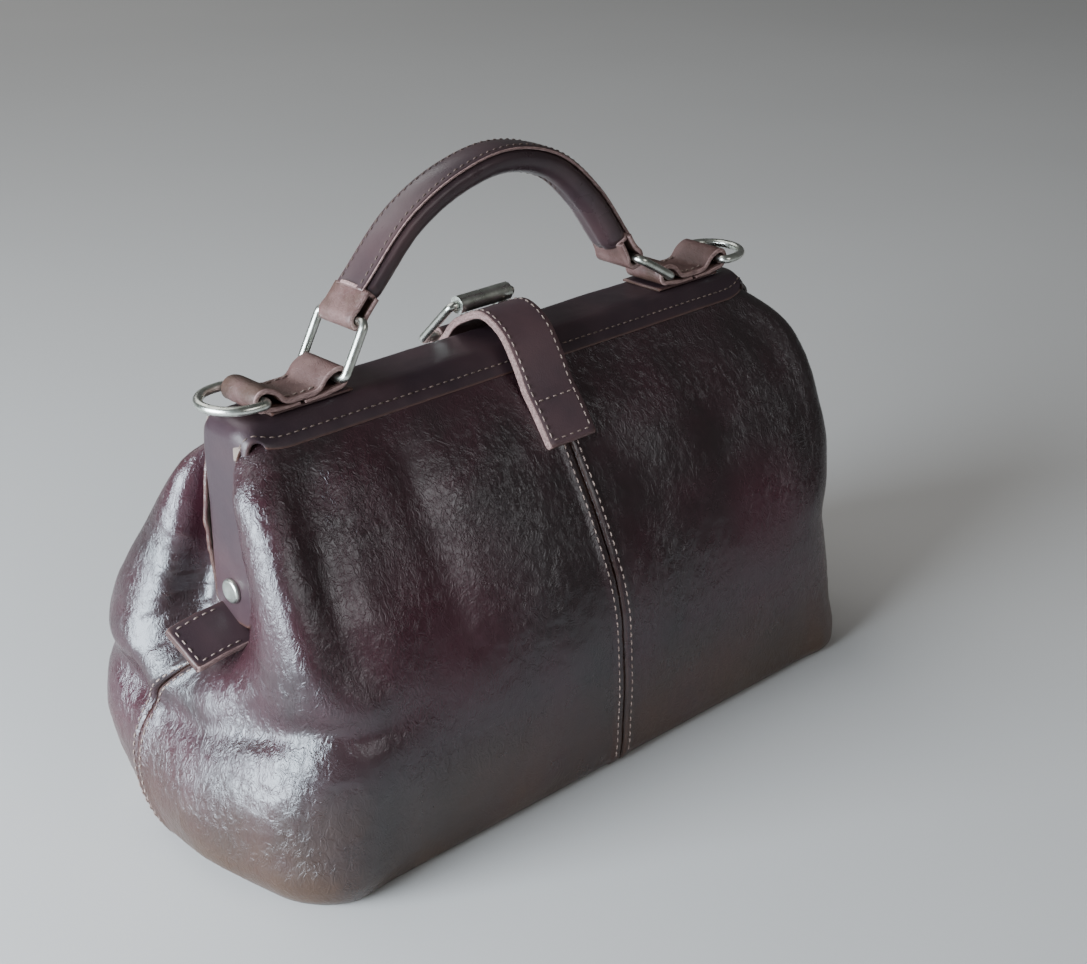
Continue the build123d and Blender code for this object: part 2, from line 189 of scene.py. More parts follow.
def shell(name, grid, thickness, materials):
    """Closed sheet: the grid is its outer face, the inner face lies behind it.
    The materials are those of the outer face, the inner face and the rim."""
    rows, columns = grid.shape[:2]
    inner = grid - grid_normals(grid) * thickness
    count = rows * columns
    faces = quads(rows, columns)
    inner_faces = [tuple(v + count for v in f[::-1]) for f in faces]
    border = [(i, 0) for i in range(rows)] + [(rows - 1, j) for j in range(1, columns)]
    border += [(i, columns - 1) for i in range(rows - 2, -1, -1)]
    border += [(0, j) for j in range(columns - 2, 0, -1)]
    ring = [i * columns + j for i, j in border]
    rim = []
    for k, a in enumerate(ring):
        b = ring[(k + 1) % len(ring)]
        rim.append((b, a, a + count, b + count))
    kinds = [0] * len(faces) + [1] * len(inner_faces) + [2] * len(rim)
    verts = np.concatenate([grid.reshape(-1, 3), inner.reshape(-1, 3)])
    return add_mesh(name, verts, faces + inner_faces + rim, materials, kinds)


def frames_along(path, side):
    """Tangent, side and top directions at each point of a path; side is the same direction all along."""
    tangent = np.gradient(path, axis=0)
    tangent /= np.linalg.norm(tangent, axis=1)[:, None]
    side = np.array(side, float) - tangent * (tangent @ np.array(side, float))[:, None]
    side /= np.linalg.norm(side, axis=1)[:, None]
    return tangent, side, np.cross(tangent, side)


def run(path):
    """Length along a line of points, at each point."""
    return np.r_[0, np.cumsum(np.linalg.norm(np.diff(path, axis=0), axis=1))]


def read_at(at, lengths, values):
    """Rows of values at the given lengths."""
    return np.stack([np.interp(at, lengths, values[:, k]) for k in range(values.shape[1])], axis=-1)


def resample(path, step=None, count=None, values=None):
    """Evenly spaced points on a line of points, or the values there that the line's own points have."""
    path = np.asarray(path, float)
    lengths = run(path)
    count = count or max(2, int(round(lengths[-1] / step)) + 1)
    return read_at(np.linspace(0, lengths[-1], count), lengths, path if values is None else values)


def spline(points, step=1.0):
    """Smooth line through points."""
    points = np.asarray(points, float)
    knots = run(points)
    at = np.linspace(0, knots[-1], max(8, int(knots[-1] / step) * 2))
    smoothed = [curve(at, list(zip(knots, points[:, k]))) for k in range(points.shape[1])]
    return resample(np.stack(smoothed, axis=1), step)


def sweep(name, path, side, section, materials, section_material=None):
    """Closed tube with the given outline of (side, top) points along a path; the ends are capped.
    The section may be one outline, or one outline for each point of the path."""
    _, side, top = frames_along(path, side)
    section = np.asarray(section, float)
    if section.ndim == 2:
        section = np.repeat(section[None], len(path), axis=0)
    points = path[:, None] + side[:, None] * section[..., :1] + top[:, None] * section[..., 1:]
    rows, columns = points.shape[:2]
    faces = [f[::-1] for f in quads(rows, columns, wrap_columns=True)]
    kinds = [0] * len(faces)
    if section_material is not None:
        kinds = [section_material[j] for _ in range(rows - 1) for j in range(columns)]
    cap = kinds[0] if section_material is None else max(section_material)
    faces += [tuple(range(columns))[::-1], tuple((rows - 1) * columns + j for j in range(columns))]
    kinds += [cap, cap]
    return add_mesh(name, points.reshape(-1, 3), faces, materials, kinds)


def row_on(path, side, offset, height, start=0.0, stop=1.0, step=1.2):
    """Line beside a swept path, between two shares of its length, with the normals there."""
    _, across, top = frames_along(path, side)
    line = path + across * offset + top * height
    lengths = run(line)
    lengths /= lengths[-1]
    at = np.linspace(start, stop, max(4, int((stop - start) * len(path) / step)))
    return read_at(at, lengths, line), read_at(at, lengths, top)


def row_across(path, side, at, half, height):
    """Line across a swept path at a share of its length."""
    _, across, top = frames_along(path, side)
    i = int(round(at * (len(path) - 1)))
    points = path[i] + np.linspace(-half, half, 12)[:, None] * across[i] + top[i] * height
    return points, np.repeat(top[i][None], 12, axis=0)


def on_grid(grid, rows, columns):
    """Points and normals of a grid at fractional rows and columns."""
    normal = grid_normals(grid)
    rows, columns = np.broadcast_arrays(np.asarray(rows, float), np.asarray(columns, float))
    i = np.clip(rows.astype(int), 0, grid.shape[0] - 2)
    j = np.clip(columns.astype(int), 0, grid.shape[1] - 2)
    a = (rows - i)[..., None]
    b = (columns - j)[..., None]

    def read(values):
        low = values[i, j] * (1 - b) + values[i, j + 1] * b
        high = values[i + 1, j] * (1 - b) + values[i + 1, j + 1] * b
        return low * (1 - a) + high * a
    return read(grid), read(normal)


def leather_section(half, thickness, crown=0.0, pinch=0.35):
    """Outline of a two-layer strap: rounded top edges and a line between the layers on each side.
    Returns the outline and which of its faces are cut edge (1) or underside (2)."""
    t = thickness / 2
    across = np.linspace(half - 0.9, -(half - 0.9), 9)
    top = [(a, t + crown * (1 - (a / half) ** 2)) for a in across]
    left = [(-half + 0.3, t - 0.25), (-half, t - 0.8), (-half, 0.35), (-half + pinch, 0.0), (-half, -0.35),
            (-half, 0.7 - t), (-half + 0.35, 0.1 - t)]
    bottom = [(a, -t) for a in np.linspace(-(half - 0.9), half - 0.9, 7)]
    right = [(-a, b) for a, b in left[::-1]]
    outline = top + left + bottom + right
    kinds = [0] * 9 + [1] * 7 + [2] * 6 + [1] * 8
    return np.array(outline), kinds


STITCH_SINK = 0.12                # how deep a stitch lies in the leather
STITCH_PROFILE = ((-1.0, 0.15), (-0.8, 0.75), (-0.3, 1.0), (0.3, 1.0), (0.8, 0.75), (1.0, 0.15))


def stitches(name, path, normals, material, pitch=4.4, length=3.1, radius=0.42):
    """Row of thread stitches lying on a line; normals point out of the surface."""
    path = np.asarray(path, float)
    lengths = run(path)
    count = int(lengths[-1] // pitch)
    verts = []
    faces = []
    turn = np.linspace(0, 2 * math.pi, 6, endpoint=False)
    for k in range(count):
        at = (k + 0.5) * lengths[-1] / count
        ends = [read_at(s, lengths, path) for s in (at - length / 2, at + length / 2)]
        normal = read_at(at, lengths, normals)
        normal /= np.linalg.norm(normal)
        along = ends[1] - ends[0]
        along /= np.linalg.norm(along)
        side = np.cross(normal, along)
        middle = (ends[0] + ends[1]) / 2
        start = len(verts)
        for t, size in STITCH_PROFILE:
            lift = radius * (1 - t * t) * 0.9 - STITCH_SINK
            centre = middle + along * t * length / 2 + normal * lift
            for angle in turn:
                verts.append(centre + (side * math.cos(angle) + normal * math.sin(angle)) * radius * size)
        for quad in quads(len(STITCH_PROFILE), len(turn), wrap_columns=True):
            faces.append([start + i for i in quad[::-1]])
        faces.append([start + i for i in range(len(turn))][::-1])
        faces.append([start + (len(STITCH_PROFILE) - 1) * len(turn) + i for i in range(len(turn))])
    return add_mesh(name, verts, faces, [material])


# ---- materials
class Nodes:
    """Short way to build a node material."""

    def __init__(self, name):
        self.material = bpy.data.materials.new(name)
        self.material.use_nodes = True
        self.tree = self.material.node_tree
        self.shader = self.tree.nodes["Principled BSDF"]
        self.coords = self.add("ShaderNodeTexCoord").outputs["Object"]

    def add(self, kind, inputs=None, **settings):
        node = self.tree.nodes.new(kind)
        for key, value in settings.items():
            setattr(node, key, value)
        for key, value in (inputs or {}).items():
            self.put(node.inputs[key], value)
        return node

    def put(self, socket, value):
        if isinstance(value, bpy.types.NodeSocket):
            self.tree.links.new(value, socket)
        else:
            socket.default_value = value

    def set(self, **values):
        for key, value in values.items():
            self.put(self.shader.inputs[key.replace("_", " ")], value)

    def scaled(self, scale):
        return self.add("ShaderNodeMapping", {"Vector": self.coords, "Scale": scale}).outputs["Vector"]

    def noise(self, scale, detail=4.0, rough=0.55, vector=None, distortion=0.0):
        inputs = {"Vector": vector or self.coords, "Scale": scale, "Detail": detail,
                  "Roughness": rough, "Distortion": distortion}
        return self.add("ShaderNodeTexNoise", inputs).outputs["Fac"]

    def cells(self, scale, feature="SMOOTH_F1"):
        inputs = {"Vector": self.coords, "Scale": scale}
        node = self.add("ShaderNodeTexVoronoi", inputs, feature=feature)
        if feature == "SMOOTH_F1":
            node.inputs["Smoothness"].default_value = 0.6
        return node.outputs["Distance"]

    def ramp(self, value, low, high, to_low=0.0, to_high=1.0):
        inputs = {0: value, 1: low, 2: high, 3: to_low, 4: to_high}
        return self.add("ShaderNodeMapRange", inputs).outputs["Result"]

    def math(self, operation, a, b=0.0):
        return self.add("ShaderNodeMath", {0: a, 1: b}, operation=operation).outputs[0]

    def mix(self, factor, a, b):
        node = self.add("ShaderNodeMix", data_type="RGBA")
        self.put(node.inputs[0], factor)
        self.put(node.inputs[6], a)
        self.put(node.inputs[7], b)
        return node.outputs[2]

    def bump(self, height, strength, distance, normal=None):
        inputs = {"Height": height, "Strength": strength, "Distance": distance}
        if normal is not None:
            inputs["Normal"] = normal
        return self.add("ShaderNodeBump", inputs).outputs["Normal"]

    def height(self):
        return self.add("ShaderNodeSeparateXYZ", {"Vector": self.coords}).outputs["Z"]

    def wear(self):
        return self.add("ShaderNodeNewGeometry").outputs["Pointiness"]


# Places where burgundy shows through the dark finish, and how far round them; metres.
WINE_SPOTS = (((-0.115, -0.085, 0.115), 0.075), ((-0.155, 0.022, 0.165), 0.042),
              ((-0.185, 0.055, 0.05), 0.05), ((0.12, -0.08, 0.10), 0.05))


def rgb(red, green, blue):
    return (red, green, blue, 1.0)


def leather_grain(n):
    """Fine wrinkles in patches, pebbled grain and pores as bump."""
    patches = n.ramp(n.noise(12.0, 3.0), 0.38, 0.62, 0.15, 1.0)
    creases = n.noise(240.0, 4.0, 0.55, n.scaled((1.0, 1.0, 0.6)), 1.2)
    creases = n.math("ABSOLUTE", n.math("SUBTRACT", creases, 0.5))
    creases = n.math("MULTIPLY", n.ramp(creases, 0.0, 0.14), patches)
    normal = n.bump(creases, 0.8, 0.00024)
    normal = n.bump(n.noise(170.0, 2.0), 0.35, 0.0003, normal)
    return n.bump(n.cells(950.0), 0.30, 0.00010, normal)


def spot(n, centre, radius):
    """1 at a place on the bag, falling to 0 at the radius; metres."""
    gap = n.add("ShaderNodeVectorMath", {0: n.coords, 1: centre}, operation="DISTANCE").outputs["Value"]
    return n.ramp(gap, radius, radius * 0.25)


def body_leather():
    """Glossy pull-up leather: espresso and aubergine, burgundy in places, browner towards the base."""
    n = Nodes("leather_body")
    tone = n.ramp(n.noise(9.0, 5.0, 0.6, None, 0.6), 0.42, 0.72)
    for centre, radius in WINE_SPOTS:
        tone = n.math("MAXIMUM", tone, spot(n, centre, radius))
    color = n.mix(tone, rgb(0.023, 0.0140, 0.0150), rgb(0.048, 0.0135, 0.021))
    low = n.ramp(n.height(), 0.066, 0.0, 0.0, 0.95)
    low = n.math("MULTIPLY", low, n.ramp(n.noise(16.0, 4.0), 0.3, 0.6, 0.3, 1.0))
    color = n.mix(low, color, rgb(0.066, 0.032, 0.013))
    rub = n.ramp(n.wear(), 0.515, 0.60)
    rub = n.math("MULTIPLY", rub, n.ramp(n.noise(60.0, 5.0), 0.35, 0.65, 0.2, 0.8))
    color = n.mix(rub, color, rgb(0.10, 0.05, 0.035))
    rough = n.ramp(n.noise(28.0, 6.0, 0.65), 0.3, 0.7, 0.21, 0.33)
    rough = n.math("ADD", rough, n.math("MULTIPLY", low, 0.10))
    n.set(Base_Color=color, Roughness=rough, Specular_IOR_Level=0.75,
          Specular_Tint=rgb(0.88, 0.95, 1.0), Normal=leather_grain(n))
    return n.material


def smooth_leather(name="leather_smooth", tone=(0.030, 0.019, 0.024), rough=(0.30, 0.48)):
    """Flatter, polished leather of the frame cover, strap and handle."""
    n = Nodes(name)
    base = rgb(*tone)
    warm = rgb(tone[0] * 1.6, tone[1] * 1.4, tone[2] * 1.3)
    color = n.mix(n.ramp(n.noise(22.0, 5.0), 0.4, 0.7), base, warm)
    rub = n.ramp(n.wear(), 0.52, 0.62)
    color = n.mix(n.math("MULTIPLY", rub, 0.7), color, rgb(0.16, 0.08, 0.055))
    n.set(Base_Color=color, Roughness=n.ramp(n.noise(45.0, 5.0), 0.3, 0.7, *rough))
    n.set(Specular_IOR_Level=0.33, Coat_Weight=0.08, Coat_Roughness=0.3)
    normal = n.bump(n.cells(1100.0), 0.16, 0.0002)
    n.set(Normal=n.bump(n.noise(120.0, 6.0, 0.6), 0.12, 0.0006, normal))
    return n.material


def raw_leather():
    """Worn rosy-brown leather of the tabs and loops, rubbed darker in patches and cracked."""
    n = Nodes("leather_raw")
    blotch = n.noise(70.0, 6.0, 0.65, None, 0.8)
    color = n.mix(n.ramp(blotch, 0.35, 0.7), rgb(0.075, 0.036, 0.033), rgb(0.150, 0.088, 0.080))
    stain = n.ramp(n.noise(33.0, 4.0), 0.5, 0.62)
    color = n.mix(n.math("MULTIPLY", stain, 0.75), color, rgb(0.050, 0.028, 0.018))
    n.set(Base_Color=color, Roughness=n.ramp(blotch, 0.3, 0.7, 0.42, 0.62), Specular_IOR_Level=0.45)
    cracks = n.cells(420.0, "DISTANCE_TO_EDGE")
    normal = n.bump(n.ramp(cracks, 0.0, 0.08), 0.35, 0.0004)
    n.set(Normal=n.bump(n.noise(700.0, 4.0), 0.25, 0.0003, normal))
    return n.material


def edge_leather():
    """Pale fibrous cut edge."""
    n = Nodes("leather_edge")
    fibre = n.noise(900.0, 5.0, 0.7, n.scaled((0.25, 1.0, 1.0)))
    color = n.mix(n.ramp(fibre, 0.35, 0.65), rgb(0.15, 0.09, 0.085), rgb(0.36, 0.24, 0.225))
    n.set(Base_Color=color, Roughness=0.75)
    n.set(Normal=n.bump(fibre, 0.5, 0.0004))
    return n.material


def thread_material(name, dark, pale):
    n = Nodes(name)
    twist = n.noise(1400.0, 3.0)
    worn = n.math("MULTIPLY", n.ramp(twist, 0.35, 0.65), n.ramp(n.noise(90.0, 3.0), 0.35, 0.6, 0.45, 1.0))
    n.set(Base_Color=n.mix(worn, rgb(*dark), rgb(*pale)), Roughness=0.7, Normal=n.bump(twist, 0.5, 0.0002))
    return n.material


def nickel():
    """Aged nickel: slightly green, brushed by use, dull in patches."""
    n = Nodes("nickel_aged")
    patina = n.noise(180.0, 6.0, 0.6)
    color = n.mix(n.ramp(patina, 0.38, 0.66), rgb(0.50, 0.535, 0.475), rgb(0.72, 0.74, 0.70))
    worn = n.ramp(n.noise(60.0, 4.0), 0.35, 0.7, 0.20, 0.38)
    n.set(Base_Color=color, Metallic=1.0, Roughness=worn)
    scratch = n.noise(900.0, 3.0, 0.5, n.scaled((1.0, 0.2, 1.0)))
    n.set(Normal=n.bump(scratch, 0.06, 0.0002))
    return n.material


def steel():
    n = Nodes("frame_steel")
    streak = n.noise(500.0, 4.0, 0.5, n.scaled((0.1, 1.0, 1.0)))
    color = n.mix(streak, rgb(0.36, 0.36, 0.37), rgb(0.52, 0.52, 0.53))
    n.set(Base_Color=color, Metallic=1.0, Roughness=n.ramp(streak, 0.3, 0.7, 0.28, 0.45))
    n.set(Normal=n.bump(streak, 0.08, 0.0002))
    return n.material


def lining_fabric():
    """Twill lining."""
    n = Nodes("lining_twill")
    inputs = {"Vector": n.coords, "Scale": 480.0, "Distortion": 0.4}
    weave = n.add("ShaderNodeTexWave", inputs, bands_direction="DIAGONAL").outputs["Fac"]
    color = n.mix(weave, rgb(0.14, 0.105, 0.085), rgb(0.23, 0.18, 0.145))
    n.set(Base_Color=n.mix(n.ramp(n.noise(30.0), 0.3, 0.7, 0.0, 0.3), color, rgb(0.09, 0.07, 0.06)))
    n.set(Roughness=0.85, Sheen_Weight=0.3, Normal=n.bump(weave, 0.4, 0.0003))
    return n.material


def board_material():
    n = Nodes("fibre_board")
    fleck = n.noise(300.0, 6.0, 0.7)
    n.set(Base_Color=n.mix(fleck, rgb(0.16, 0.11, 0.07), rgb(0.30, 0.22, 0.15)), Roughness=0.8)
    n.set(Normal=n.bump(fleck, 0.3, 0.0004))
    return n.material


LEATHER = body_leather()
SMOOTH = smooth_leather()
HANDLE_LEATHER = smooth_leather("leather_handle", (0.036, 0.024, 0.028), (0.24, 0.38))
# The strap leather is a lighter copy of the cover leather: painted light, standing in for the light that falls on
# the strap's top, over the whole strap.
STRAP_LEATHER_PAINTED_LIGHT = smooth_leather("leather_strap_painted_light", (0.066, 0.043, 0.051), (0.32, 0.48))
RAW = raw_leather()
EDGE = edge_leather()
THREAD = thread_material("thread_tan", (0.10, 0.07, 0.06), (0.40, 0.31, 0.27))
SEAM_THREAD = thread_material("thread_brown", (0.045, 0.03, 0.026), (0.15, 0.105, 0.085))
NICKEL = nickel()
STEEL = steel()
TWILL = lining_fabric()
BOARD = board_material()
CAD_MATERIALS = {"leather": SMOOTH, "raw_leather": RAW, "nickel": NICKEL, "steel": STEEL,
                 "lining": TWILL, "board": BOARD, "rope": EDGE}


def dress_cad():
    """Every CAD node that stays visible gets its slot's material."""
    slots = {s["node"]: s["material_slot"] for s in frame["record"]["subparts"]}
    for name, obj in frame["nodes"].items():
        obj.data.materials.clear()
        obj.data.materials.append(CAD_MATERIALS[slots[name]])


# ---- the leather body
# Half length of each quarter at a height, up to where its corner turns into the end.
LEFT_FRONT = [(0, 191), (10, 196), (30, 195), (60, 188), (80, 186), (95, 187.5), (110, 187.5), (130, 185.5),
              (150, 183), (170, 180), (187, 177), (200, 171.5), (207, 165.5), (212, 161)]
LEFT_REAR = [(0, 186), (10, 190), (30, 197), (60, 203), (91, 204), (105, 201), (120, 194), (128, 189),
             (143, 181), (160, 174), (175, 169), (187, 166), (200, 165.5), (212, 163)]
RIGHT = [(0, 190), (10, 191), (30, 186), (57, 184), (91, 185), (110, 189), (128, 191.5), (150, 191.5),
         (170, 190), (187, 185), (200, 175), (207, 166.5), (212, 161)]
HALF_LENGTH = {(-1, -1): LEFT_FRONT, (-1, 1): LEFT_REAR, (1, -1): RIGHT, (1, 1): RIGHT}
# Half depth, and the radius of the upright corners.
HALF_DEPTH = [(0, 85), (4, 88.5), (10, 90), (30, 91.5), (60, 91.5), (80, 90), (95, 87), (110, 82.5),
              (128, 75), (150, 63.5), (170, 51.5), (187, 39.5), (200, 28), (206, 21.8), (212, 16.5)]
CORNER = [(0, 26), (30, 34), (60, 38), (80, 38), (95, 36), (128, 26), (150, 20), (170, 16), (187, 14),
          (200, 14), (212, 13)]
# X of the end at y = 0; both ends are alike from just above the pivot's hollow.
END_TOP = [(118, 164.5), (130, 165.5), (150, 167), (170, 168), (190, 168), (204, 166.8), (212, 162.5)]
END_LEFT = [(0, 202), (8, 209), (20, 212.5), (45, 209.5), (62, 204.5), (74, 201), (85, 196), (95, 187),
            (103, 174), (110, 166.5)] + END_TOP
END_RIGHT = [(0, 190), (8, 194), (20, 197), (45, 200), (62, 199), (76, 195), (87, 187), (97, 176),
             (105, 168), (112, 165.5)] + END_TOP
# How far the rear leather dips in beside the end strip, and where across the end.
REAR_DIP = [(0, 0), (104, 0), (118, 5), (130, 9), (145, 14), (165, 17), (190, 14), (204, 8), (212, 3)]
REAR_DIP_Y = 25
# How far the hollow round the pivot reaches to each side.
HOLLOW = [(0, 4), (62, 10), (76, 24), (88, 35), (98, 42), (115, 48), (131, 50), (150, 46), (170, 36),
          (187, 27), (200, 20), (212, 16.5)]
# Where the end seam runs below the pivot: it swings towards the rear on its way down.
SEAM_Y = [(0, 20), (30, 27), (60, 28), (78, 24), (90, 14), (99, 4), (106, 0), (212, 0)]
LEATHER_TOP = 212.0
LEATHER_T = 2.2
STRIP_EDGE = 15.2
SEAM_HEIGHT = (104.0, 122.0)      # below, front and rear leather meet; above, each is sewn to the end strip
UNDER_TURN = 11.0                 # leather turned under the base
UNDER_Z = 0.35
FACE_SHARE = 0.60                 # share of a panel's columns on the broad face
CORNER_SHARE = 0.76


def outline_point(u, z, side, facing):
    """Point of the body's outline. u runs from the middle of the broad face (0) to the end (1)."""
    a = curve(z, HALF_LENGTH[(side, facing)])
    b = curve(z, HALF_DEPTH)
    r = np.minimum(curve(z, CORNER), b - 2)
    apart = smooth(*SEAM_HEIGHT, z)
    end_y = STRIP_EDGE * apart + facing * curve(z, SEAM_Y) * (1 - apart)
    t_face = np.clip(u / FACE_SHARE, 0, 1)
    t_turn = np.clip((u - FACE_SHARE) / (CORNER_SHARE - FACE_SHARE), 0, 1) * math.pi / 2
    t_end = np.clip((u - CORNER_SHARE) / (1 - CORNER_SHARE), 0, 1)
    x = t_face * (a - r) + r * np.sin(t_turn)
    y = b - r + r * np.cos(t_turn)
    y = y + (end_y - (b - r)) * t_end
    end_x = curve(z, END_LEFT if side < 0 else END_RIGHT)
    # between the two corners of an end, the front's half length passes into the rear's
    front_a, rear_a = curve(z, HALF_LENGTH[(side, -1)]), curve(z, HALF_LENGTH[(side, 1)])
    shared = front_a + (rear_a - front_a) * smooth(r - b, b - r, y * facing)
    x = np.where(u > CORNER_SHARE, shared, x)
    away = np.abs(y)
    crowned = 1 - np.clip((np.sqrt(away ** 2 + 144) - 12) / np.maximum(b - 14, 1), 0, 1)
    hollow = 1 - smooth(0.0, 1.0, (away - 2) / np.maximum(curve(z, HOLLOW), 1))
    low = 1 - smooth(72, 98, z)
    inward = low * smooth(0, 1, crowned) ** 0.8 + (1 - low) * hollow
    at_end = smooth(a - 45, a - 5, x + 1e-6)
    x = x + (end_x - np.where(u > CORNER_SHARE, shared, a)) * inward * at_end
    if facing > 0:
        dip = bump(away, REAR_DIP_Y, 8.5) - bump(STRIP_EDGE, REAR_DIP_Y, 8.5) * bump(away, STRIP_EDGE, 4)
        x = x - curve(z, REAR_DIP) * at_end * dip
    return np.stack([x, y * facing, z], axis=-1)


BODY_NOISE = Noise(11)
BODY_MIDDLE = np.array([0, 0, 100.0])
LEATHER_LOW = 0.6                 # the leather stands this far above the floor


def wrinkles(points, side, facing):
    """Height of folds and creases over the smooth outline, in millimetres."""
    noise = BODY_NOISE
    y, z = points[..., 1], points[..., 2]
    ax, ay = np.abs(points[..., 0]), np.abs(y)
    slack = smooth(2, 14, z) * (1 - smooth(196, 209, z))
    off_seam = smooth(2, 14, np.abs(y - curve(z, SEAM_Y))) * smooth(1, 12, ax)
    total = 1.9 * noise(points / 70.0) * slack
    total += 0.7 * noise(points / 30.0) * slack
    fine = noise.layers(points / 9.0, 2)
    total += 0.10 * fine * slack
    # hanging wrinkles under the frame, crackle lower down
    warped = points + 3.0 * fine[..., None]
    hanging = noise.ridges(warped / np.array([4.2, 9.0, 15.0]))
    top_left = bump(ax, 128, 42) * bump(z, 176, 32) + 0.5 * bump(ax, 60, 30) * bump(z, 150, 40)
    total += 0.22 * (hanging - 0.65) * top_left * slack
    crackle = noise.layers(warped / 6.5, 2)
    where = bump(ax, 186, 40) * bump(z, 40, 34) + 0.8 * bump(ax, 50, 42) * bump(z, 96, 30)
    total += 0.36 * crackle * where * slack
    # folds that stand up along the end of each broad face, with a shallow valley beside them
    front_corner = curve(z, HALF_LENGTH[(side, facing)]) - 0.45 * curve(z, CORNER)
    upper = smooth(92, 122, z) * (1 - smooth(186, 206, z)) * smooth(8, 26, ay) * (1.0 if side < 0 else 0.5)
    sway = 4.0 * np.sin((z - 100) / 21.0)
    total += upper * (3.2 * bump(ax, front_corner + 6, 7.5) - 3.4 * bump(ax, front_corner - 19 + sway, 12))
    total -= 1.6 * upper * bump(ax, 92 + 14 * noise(points / 90.0), 16)
    # long crease round each lower corner, with a fuller facet under it
    line = 86 - 14 * smooth(82, 5, ay) + 2.5 * noise(points / 40.0)
    corner = smooth(108, 168, ax) * (1.0 if side < 0 else 0.2)
    total += corner * (3.2 * bump(z, line - 29, 18) - 3.2 * bump(z, line, 8.5))
    total += corner * 0.8 * bump(z, line + 16, 10)
    total += 1.8 * bump(ax, 172, 16) * bump(z, 20, 22) - 1.6 * bump(ax, 150, 12) * bump(z, 48, 30)
    # pleats that run towards the pivot
    reach = np.hypot(y, z - PIVOT_Z)
    angle = np.arctan2(z - PIVOT_Z, ay)
    near = bump(reach, 30, 15) * smooth(152, 172, ax) * off_seam * (0.5 if facing < 0 else 1.0)
    pleats = np.sin(17 * angle + 2.2 * noise(points / 20.0)) + 0.6 * np.sin(41 * angle)
    return total + 0.42 * near * pleats * smooth(14, 26, reach)


def centre_seam(points):
    """Flattened seam allowances beside the middle seam, with a groove on the seam itself."""
    x = np.abs(points[..., 0])
    return 0.75 * smooth(7.5, 5.0, x) - 1.3 * bump(x, 0, 1.0)


def end_seam(points):
    """The same beside the seam down each end."""
    z = points[..., 2]
    away = np.abs(points[..., 1] - curve(z, SEAM_Y))
    where = (1 - smooth(98, 112, z)) * smooth(150, 160, np.abs(points[..., 0]))
    return where * (0.6 * smooth(7.5, 5.3, away) - 1.2 * bump(away, 0, 1.0))


def panel_grid(side, facing, columns=190, rows=170):
    """Outer face of one leather quarter, rows from the base to the frame."""
    u, z = np.meshgrid(np.linspace(0, 1, columns), LEATHER_TOP * np.linspace(0, 1, rows))
    points = outline_point(u, z, side, facing)
    points[..., 0] *= side
    normal = grid_normals(points)
    normal *= np.sign((normal * (points - BODY_MIDDLE)).sum(-1).mean())
    height = wrinkles(points, side, facing) + centre_seam(points) + end_seam(points)
    points = points + normal * height[..., None]
    points[..., 2] = np.maximum(points[..., 2], LEATHER_LOW)
    return turned_under(points)


def turned_under(points):
    """Adds rows that bend under the base towards the middle."""
    first = points[0]
    outward = first * np.array([1, 1, 0])
    outward /= np.maximum(np.linalg.norm(outward, axis=1)[:, None], 1)
    rows = []
    for share in (1, 0.66, 0.36, 0.14):
        row = first - outward * UNDER_TURN * share
        row[:, 2] = UNDER_Z
        rows.append(row)
    return np.concatenate([np.stack(rows), points])


def blend_leather(obj):
    """Bakes the leather's placement into its mesh."""
    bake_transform(obj)


PANELS = {}
JOIN_COLUMNS = 16                 # columns over which a panel's border is drawn to its neighbour's


def join(first, second, column, low, high):
    """Makes two panels meet on one border below a height."""
    rows = min(len(first), len(second))
    weight = 1 - smooth(low, high, first[:rows, column, 2])
    gap = (second[:rows, column] - first[:rows, column]) * weight[:, None]
    count = first.shape[1]
    for k in range(JOIN_COLUMNS):
        fade = 0.5 * (1 - k / JOIN_COLUMNS) ** 2
        at = k if column == 0 else count - 1 - k
        first[:rows, at] += gap * fade
        second[:rows, at] -= gap * fade


def build_panels():
    grids = {(side, facing): panel_grid(side, facing) for _, side in SIDES for _, facing in FACINGS}
    for _, side in SIDES:
        join(grids[(side, -1)], grids[(side, 1)], -1, 100, 107)
    for _, facing in FACINGS:
        join(grids[(-1, facing)], grids[(1, facing)], 0, 500, 501)
    for side_name, side in SIDES:
        for facing_name, facing in FACINGS:
            grid = grids[(side, facing)]
            if side * facing < 0:
                grid = grid[:, ::-1]
            PANELS[(side, facing)] = grid
            name = f"{facing_name}_{side_name}"
            obj = shell(f"{name}_leather", grid, LEATHER_T, [LEATHER, TWILL, LEATHER])
            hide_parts(f"{name}_lower_panel", f"{name}_upper_panel")
            blend_leather(obj)


# ---- seams of the body
CENTRE_STITCH = 4.6               # both rows of the middle seam, from the seam itself
END_STITCH = 3.0


def line_on_panel(side, facing, find, low, high):
    """Points and normals up a panel where find(points) passes through 0, between two heights."""
    grid = PANELS[(side, facing)]
    rows = [i for i in range(4, grid.shape[0]) if low <= grid[i, :, 2].mean() <= high]
    normals = grid_normals(grid)
    points = []
    out = []
    for i in rows:
        value = find(grid[i])
        j = int(np.argmin(np.abs(value)))
        after = min(j + 1, len(value) - 1)
        k = after if after > j and value[j] * value[after] <= 0 else max(j - 1, 0)
        t = value[j] / (value[j] - value[k]) if value[j] != value[k] else 0.0
        t = min(max(t, 0.0), 1.0)
        points.append(grid[i, j] * (1 - t) + grid[i, k] * t)
        out.append(normals[i, j])
    return np.array(points), np.array(out)


def build_seams():
    for facing_name, facing in FACINGS:
        def from_centre(p):
            return np.abs(p[:, 0]) - CENTRE_STITCH

        def from_end_seam(p):
            return (p[:, 1] - curve(p[:, 2], SEAM_Y)) * facing - END_STITCH

        for side_name, side in SIDES:
            for seam, find, low, high in (("seam", from_centre, 6, 200), ("end", from_end_seam, 8, 100)):
                line, normals = line_on_panel(side, facing, find, low, high)
                obj = stitches(f"{facing_name}_{side_name}_{seam}_stitches", line, normals, THREAD)
                blend_leather(obj)


